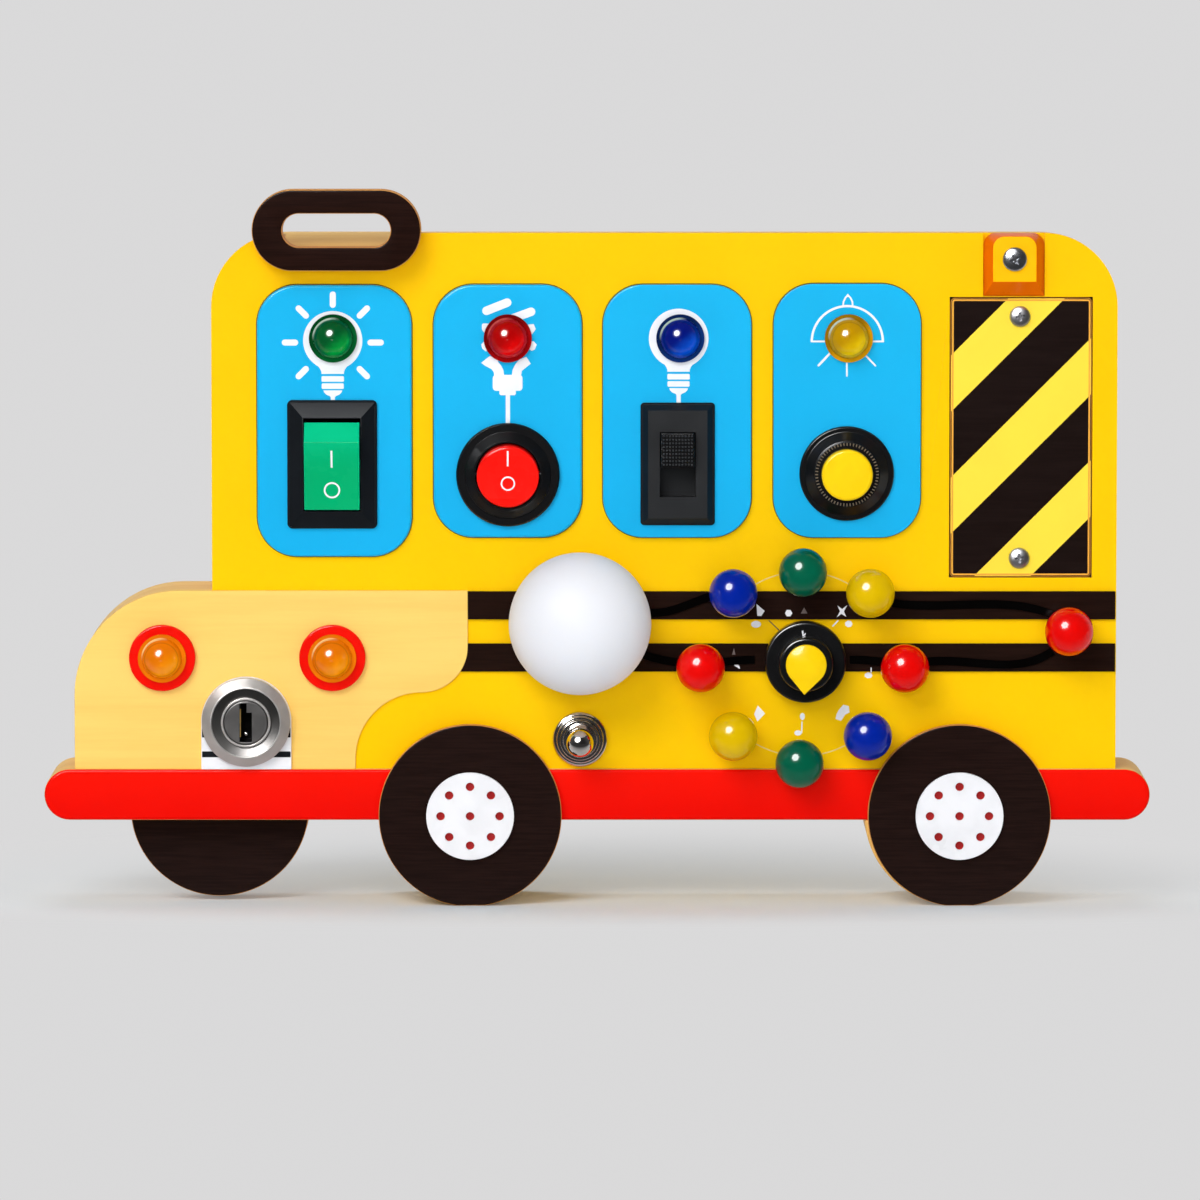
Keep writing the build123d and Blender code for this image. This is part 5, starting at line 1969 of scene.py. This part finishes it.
@dataclass
class Switches:
    """The four window switches with their marks, knurls and rims."""

    rocker_x: float = -71.6
    round_centre: Point = (-24.1, 116.8)
    ridges: int = 7
    ridge_step: float = 0.31
    ridge_rim: float = 11.5
    ridge_slope: float = 0.833
    slide_knob: Point = (21.8, 123.9)
    pad_margin: float = 0.25
    pad_foot: float = -6.65
    pad_rise: float = 0.47
    studs: tuple[int, int] = (10, 9)
    studs_area: tuple[float, float] = (7.6, 7.7)
    studs_foot: float = -7.05
    stud: tuple[float, float] = (0.27, 0.5)  # half width and height
    push: Point = (67.5, 117.3)
    teeth: int = 60
    teeth_circle: float = 8.2
    teeth_depth: float = -6.12
    tooth: tuple[float, float, float] = (0.75, 0.3, 0.3)  # outwards, along and deep

    def rocker(self) -> None:
        """Rocker switch with an I and an O."""
        softened("rocker_housing", 0.35)
        softened("rocker_button", 0.35, ROCKER_GREEN)
        bar = bar_strip((self.rocker_x, 119.3), (self.rocker_x, 124.0), 0.52)
        ring = arc_strip((self.rocker_x + 0.05, 113.1), 1.98, 0.46, 0.0, 360.0, 48)
        print_on(
            "rocker_marks", [*bar, *ring], ["rocker_button"], WHITE_INK,
            "green_rocker", draped=True,
        )

    def round(self) -> None:
        """Round rocker with an I and an O."""
        softened("round_housing", 0.35, GLOSS_BLACK)
        rim = self.ridge_rim
        profile = [(rim, -2.7)]
        for k in range(self.ridges):
            out = rim - self.ridge_step * k
            lift = -3.27 - (rim - out) * self.ridge_slope
            profile += [(out, lift), (out - 0.1, lift - 0.2), (out - 0.22, lift - 0.28)]
        profile += [(9.4, -5.05), (9.4, -3.6)]
        ridged = turned_piece("round_ridges", profile, self.round_centre, 128)
        dress(ridged, GLOSS_BLACK)
        x = self.round_centre[0]
        bar = bar_strip((x, 119.6), (x, 123.8), 0.48)
        ring = arc_strip((x + 0.05, 114.9), 1.74, 0.42, 0.0, 360.0, 48)
        print_on(
            "round_marks", [*bar, *ring], ["round_button"], WHITE_INK,
            "red_rocker", draped=True,
        )

    def slide(self) -> None:
        """Slide switch with studs on its knob."""
        softened("slide_housing", 0.25, SLIDE_BLACK)
        softened("slide_knob", 0.3, GLOSS_BLACK)
        low, high = front_box("slide_knob")
        inset = self.pad_margin
        face = rounded_box(
            (low[0] + inset, low[1] + inset), (high[0] - inset, high[1] - inset), 0.3, 6
        )
        pad = flat_plates("slide_knob_pad", [face], self.pad_foot, self.pad_rise)
        dress(pad, GLOSS_BLACK, "slide_knob")
        studs = field_of_studs(
            "slide_knob_studs", *self.studs, self.studs_area, self.stud, self.slide_knob,
            self.studs_foot, STUD_HIGHLIGHT,
        )
        dress(studs, STUD_HIGHLIGHT, "slide_knob")

    def press(self) -> None:
        """Push button inside a knurled ring."""
        softened("push_housing", 0.3, GLOSS_BLACK)
        teeth = ring_of_blocks(
            "push_knurl", self.teeth, self.teeth_circle, self.tooth, self.push,
            self.teeth_depth, KNURL_HIGHLIGHT,
        )
        dress(teeth, KNURL_HIGHLIGHT)

    def build(self) -> None:
        """Makes the four switches."""
        self.rocker()
        self.round()
        self.slide()
        self.press()


@dataclass
class BallDial:
    """The rotary knob, its ring of balls and the marks round it."""

    centre: Point = (55.6, 65.4)
    ring: float = 25.1

    def build(self) -> None:
        """Makes the knob's details and the printed marks."""
        softened("knob_pointer", 0.12, limit=60.0, segments=2)
        print_on(
            "knob_tick",
            [[(55.3, 75.0), (55.75, 75.1), (55.9, 74.0), (56.35, 74.5), (56.4, 74.1),
              (56.1, 73.4), (55.6, 73.3)]],
            ["rotary_knob"], WHITE_INK, "rotary_knob",
        )
        board = ["front_panel", "side_stripes"]
        arcs: list[Outline] = []
        for start, end in ((59, 79), (102, 121), (240, 259), (281, 300)):
            arcs += arc_strip(self.centre, self.ring, 0.26, start, end, 20)
        print_on("dial_ring", arcs, board, TAN_INK, draped=True)
        print_on(
            "dial_lines", [capsule((46.6, 77.2), (49.2, 74.7), 0.3, 3)], board, BROWN_INK,
        )
        flecks = [
            [(43.2, 81.8), (45.4, 79.9), (44.5, 78.5), (43.4, 78.6)],
            oval((43.1, 76.2), 1.35, 0.95, 14),
            oval((51.9, 79.3), 1.0, 1.0, 6),
            [(65.1, 81.4), (66.4, 80.4), (67.8, 81.5), (66.9, 79.8), (67.5, 78.3), (66.2, 79.1),
             (65.0, 78.2), (65.8, 79.8)],
            oval((68.2, 76.3), 1.05, 0.95, 7),
            [(38.0, 65.4), (36.9, 65.5), (37.4, 64.9), (38.7, 64.1), (38.6, 64.9)],
            oval((73.6, 62.3), 1.1, 0.85, 7),
            capsule((74.3, 64.4), (74.3, 63.3), 0.3, 3),
            [(43.6, 54.1), (45.6, 51.9), (43.5, 49.7), (42.6, 51.7)],
            oval((55.7, 51.1), 0.7, 1.0, 10),
            capsule((55.6, 49.6), (55.5, 46.6), 0.34, 3),
            oval((54.5, 46.6), 1.0, 0.75, 10),
            [(65.6, 52.9), (66.8, 54.3), (68.3, 53.9), (68.5, 52.2), (67.3, 51.6), (66.2, 49.9),
             (64.7, 50.4), (65.0, 51.8)],
            capsule((65.3, 77.2), (63.9, 75.7), 0.36, 3),
        ]
        print_on("dial_flecks", flecks, board, WHITE_INK)
        dim = [
            [(55.2, 79.2), (57.0, 79.2), (56.1, 80.9)],
            [(36.6, 68.0), (37.5, 68.0), (37.1, 69.8)],
            capsule((74.3, 66.9), (74.3, 65.2), 0.3, 3),
        ]
        print_on("dial_dim_flecks", dim, board, DIM_INK)


@dataclass
class ToggleSwitch:
    """Chrome toggle switch on the panel."""

    nut_edge: float = 0.22
    bushing_edge: float = 0.18

    def build(self) -> None:
        """Rounds the nut's and the bushing's edges."""
        softened("toggle_nut", self.nut_edge)
        softened("toggle_switch", self.bushing_edge)


@dataclass
class KeyLock:
    """Cam lock in front of the white grille plate."""

    middle: float = LOCK_CENTRE[0]
    strip: tuple[Point, Point] = ((-96.9, 46.0), (-96.45, 53.6))
    pin: Point = (-95.0, 46.9)
    pin_radius: float = 0.62
    pin_depth: float = -4.9
    bars: tuple[Point, Point] = ((45.6, 48.2), (40.2, 41.8))  # lower and upper edges
    bar_ends: tuple[float, float] = (6.5, 12.0)  # distance from the middle

    def build(self) -> None:
        """Makes the lock's body and plug and the plate's bars."""
        softened("lock_body", 0.12, LOCK_STEEL)
        softened("lock_plug", 0.1, PLUG_STEEL)
        (left, low), (right, high) = self.strip
        wafer = [(left, low), (right, low), (right, high), (left, high)]
        dress(flat_plates("keyway_strip", [wafer], -5.3, 0.0), BRASS, "lock_plug")
        profile = []
        for degrees in range(0, 181, 15):
            angle, size = math.radians(degrees), self.pin_radius
            profile.append((math.sin(angle) * size, -math.cos(angle) * size + self.pin_depth))
        bead = turned_piece("keyway_pin", profile, self.pin, 24, closed=False)
        dress(bead, CHROME, "lock_plug")
        near, far = self.bar_ends
        bars = []
        for low, high in self.bars:
            for side in (-1, 1):
                ends = sorted((self.middle + side * far, self.middle + side * near))
                bars.append(rounded_box((ends[0], low), (ends[1], high), 0.2))
        print_on("grille_bars", bars, ["grille_plate"], SLOTS["black_plastic"])


@dataclass
class BatteryBay:
    """Striped cover, its screws and the latch block above it."""

    corner: float = 1.0
    rim: float = 0.45

    def build(self) -> None:
        """Makes the cover, the screws and the latch block."""
        softened("battery_cover", 0.3, corner=self.corner)
        low, high = front_box("battery_cover")
        edge = band(low, high, self.corner, self.rim + 0.25, -0.25)
        print_on("cover_rim", edge, ["battery_cover"], RIM_INK, thickness=0.03)
        # A darker orange line round the cover: its joint and painted shade.
        seam = band(low, high, self.corner, -0.02, 0.2)
        print_on("cover_seam", seam, ["front_panel"], COVER_SEAM_AND_SHADE, thickness=0.03)
        softened("latch_block", 0.35)
        CrossScrews("cover_screws", 1.2, 8.0).build()
        CrossScrews("latch_screw", 1.45, 28.0, finish=LATCH_STEEL).build()


@dataclass
class CarryHandle:
    """Dark wooden handle with a finger slot."""

    edge: float = 0.5

    def build(self) -> None:
        """Rounds the handle's edges."""
        softened("handle", self.edge)


@dataclass
class PushSpring:
    """Coil spring of the push button."""

    travel: float = 2.5

    def build(self) -> None:
        """Makes the coil from the node's mesh."""
        node = "push_spring"
        source = frame["nodes"][node]
        slot = slot_of(source)
        piece = merged_copy(node, "push_coil")
        dress(piece, SLOTS[slot], source["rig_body"], [node])
        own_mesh(piece)


@dataclass
class Insides:
    """Every CAD node that keeps its own mesh, in the finish of its slot or a special one."""

    special: dict[str, Finish] = field(
        default_factory=lambda: {
            "rotary_knob": GLOSS_BLACK,
            "round_button": ROUND_RED,
            "knob_pointer": POINTER_YELLOW,
        }
    )

    def build(self) -> None:
        """Dresses the nodes that are still shown."""
        for name, node in frame["nodes"].items():
            if node.hide_render:
                continue
            slot = slot_of(node)
            for place_in in node.material_slots:
                place_in.material = material_of(self.special.get(name, SLOTS[slot]))
            log.info("%s: CAD mesh in %s", name, slot)


class Shows(Enum):
    """Which surfaces a lamp lights."""

    BOTH = "both"
    MATT = "matt"
    GLOSS = "gloss"


@dataclass(frozen=True)
class Softbox:
    """An oval area light: where it stands in metres, its size and its power."""

    name: str
    spot: tuple[float, float, float]
    size: tuple[float, float]
    watts: float
    shows: Shows

    def build(self, target: Vector) -> None:
        """Makes the lamp, aimed at the target.

        Args:
            target: the point that it lights.
        """
        lamp = bpy.data.lights.new(self.name, "AREA")
        lamp.shape = "ELLIPSE"
        lamp.size, lamp.size_y = self.size
        lamp.energy = self.watts
        if self.shows is Shows.GLOSS:
            lamp.use_nodes = True
            tree = Tree(lamp.node_tree)
            lamp.node_tree.nodes.clear()
            bounced = tree.out(tree.node("ShaderNodeLightPath"), "Diffuse Depth")
            light = tree.node("ShaderNodeEmission", {}, {"Strength": bounced < 0.5})
            tree.node("ShaderNodeOutputLight", {}, {0: light.outputs[0]})
        thing = bpy.data.objects.new(self.name, lamp)
        thing.location = self.spot
        aim = target - Vector(self.spot)
        thing.rotation_euler = aim.to_track_quat("-Z", "Y").to_euler()
        thing.visible_camera = False
        thing.visible_glossy = self.shows is not Shows.MATT
        thing.visible_diffuse = self.shows is not Shows.GLOSS
        bpy.context.scene.collection.objects.link(thing)


@dataclass
class Studio:
    """Floor, lights and camera."""

    target: Vector = field(default_factory=lambda: Vector((0.0008, 0.0016, 0.0828)))
    distance: float = 2.4
    elevation: float = 5.0
    lens: float = 265.7
    sensor: float = 36.0
    farthest: float = 50.0
    backdrop: float = 0.70
    tint: tuple[float, ...] = (1.0, 0.995, 1.0, 1.0)
    dark_side: float = 0.02
    flank: float = 0.07
    floor_albedo: tuple[float, ...] = paint(240, 248, 253)
    floor_half: float = 6.0
    floor_level: float = -0.00005  # a hair under the feet
    fade: tuple[float, float] = (0.02, 0.13)  # reach over which the floor turns to backdrop
    fade_stretch: tuple[float, float, float] = (0.3, 2.4, 1.76)  # sideways, ahead, less behind
    front_dim: tuple[float, float] = (-0.12, 0.03)  # y over which gloss sees a dark floor
    ambient: float = 0.17
    room_dim: tuple[float, float] = (-0.8, -0.15)  # heading over which gloss sees the flank
    room_lit: tuple[float, float] = (0.05, 0.6)  # and over which it sees the backdrop
    lamps: tuple[Softbox, ...] = (
        Softbox("key_softbox", (-0.81, -1.79, 1.47), (1.5, 1.6), 32.0, Shows.BOTH),
        Softbox("fill_softbox", (1.70, -0.60, 1.05), (1.3, 1.5), 5.0, Shows.MATT),
        Softbox("front_softbox", (0.1, -2.2, 0.42), (1.6, 0.7), 15.0, Shows.MATT),
        Softbox("top_softbox", (-0.2, 0.8, 2.2), (1.4, 1.0), 13.0, Shows.MATT),
        Softbox("gleam_softbox", (-0.79, -1.75, 1.44), (1.3, 1.4), 110.0, Shows.GLOSS),
        Softbox("halo_softbox", (-0.83, -1.83, 1.50), (2.3, 2.4), 16.0, Shows.GLOSS),
    )

    def floor(self) -> None:
        """A pale floor that fades into an even backdrop."""
        corners = [
            (x * self.floor_half, y * self.floor_half, self.floor_level)
            for x, y in ((-1, -1), (1, -1), (1, 1), (-1, 1))
        ]
        piece = new_piece("floor", corners, [(0, 1, 2, 3)])
        recipe = Recipe("pale_floor")
        spot = recipe.spot()
        x, y, _ = recipe.parts(spot)
        sideways, ahead, less_behind = self.fade_stretch
        behind = y * (ahead - (y > 0.0) * less_behind)
        reach = (x * x * sideways + behind * behind) ** 0.5
        far = recipe.range(reach, *self.fade, 0.0, 1.0)
        seen = recipe.seen_directly()
        gloss = recipe.out(recipe.node("ShaderNodeLightPath"), "Is Glossy Ray")
        front = recipe.range(y, *self.front_dim, 0.97, 0.0)
        speck = recipe.noise(spot, 900.0, 2.0)
        colour = recipe.shade(self.floor_albedo, recipe.varied(speck, 0.995, 1.005))
        matt = recipe.node("ShaderNodeBsdfDiffuse", {}, {"Color": colour})
        glow = recipe.node(
            "ShaderNodeEmission", {}, {"Color": self.tint, "Strength": self.backdrop}
        )
        both = recipe.node(
            "ShaderNodeMixShader", {},
            {0: far * seen, 1: matt.outputs[0], 2: glow.outputs[0]},
        )
        dim = recipe.node("ShaderNodeEmission", {}, {"Strength": self.dark_side})
        whole = recipe.node(
            "ShaderNodeMixShader", {},
            {0: gloss * front, 1: both.outputs[0], 2: dim.outputs[0]},
        )
        recipe.node("ShaderNodeOutputMaterial", {}, {0: whole.outputs[0]})
        piece.data.materials.append(recipe.material)

    def room(self) -> None:
        """Even light from all round, and the pale room that gloss shows."""
        world = bpy.data.worlds.new("room")
        bpy.context.scene.world = world
        world.use_nodes = True
        tree = Tree(world.node_tree)
        world.node_tree.nodes.clear()
        heading = tree.node("ShaderNodeTexCoord").outputs["Generated"]
        _, back, _ = tree.parts(heading)
        gloss = tree.out(tree.node("ShaderNodeLightPath"), "Is Glossy Ray")
        dim = tree.range(back, *self.room_dim, self.dark_side, self.flank)
        lit = tree.range(back, *self.room_lit, 0.0, self.backdrop - self.flank)
        strength = gloss * (dim + lit) + (1.0 - gloss) * self.backdrop
        light = tree.node("ShaderNodeBackground", {}, {0: (1, 1, 1, 1), 1: self.ambient})
        view = tree.node("ShaderNodeBackground", {}, {0: self.tint, 1: strength})
        both = tree.node(
            "ShaderNodeMixShader", {},
            {0: tree.seen_directly(), 1: light.outputs[0], 2: view.outputs[0]},
        )
        tree.node("ShaderNodeOutputWorld", {}, {0: both.outputs[0]})

    def camera(self) -> None:
        """The camera, a little above the middle of the front."""
        data = bpy.data.cameras.new("camera")
        data.lens = self.lens
        data.sensor_width = self.sensor
        data.clip_end = self.farthest
        eye = bpy.data.objects.new("camera", data)
        lift = math.radians(self.elevation)
        away = Vector((0.0, -math.cos(lift), math.sin(lift)))
        eye.location = self.target + away * self.distance
        eye.rotation_euler = (-away).to_track_quat("-Z", "Y").to_euler()
        bpy.context.scene.collection.objects.link(eye)
        bpy.context.scene.camera = eye

    def build(self) -> None:
        """Makes the studio."""
        bpy.context.scene.view_settings.view_transform = "Standard"
        self.camera()
        self.floor()
        self.room()
        for lamp in self.lamps:
            lamp.build(self.target)


def main() -> None:
    """Builds the board."""
    logging.basicConfig(level=logging.INFO, format="%(name)s %(message)s")
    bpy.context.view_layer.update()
    parts: list[Callable[[], None]] = [
        Studio().build,
        WoodenBox().build,
        WindowRow().build,
        Headlights().build,
        Switches().build,
        BallDial().build,
        ToggleSwitch().build,
        KeyLock().build,
        BatteryBay().build,
        CarryHandle().build,
        PushSpring().build,
        Insides().build,
    ]
    for build in parts:
        build()


if __name__ == "__main__":
    main()
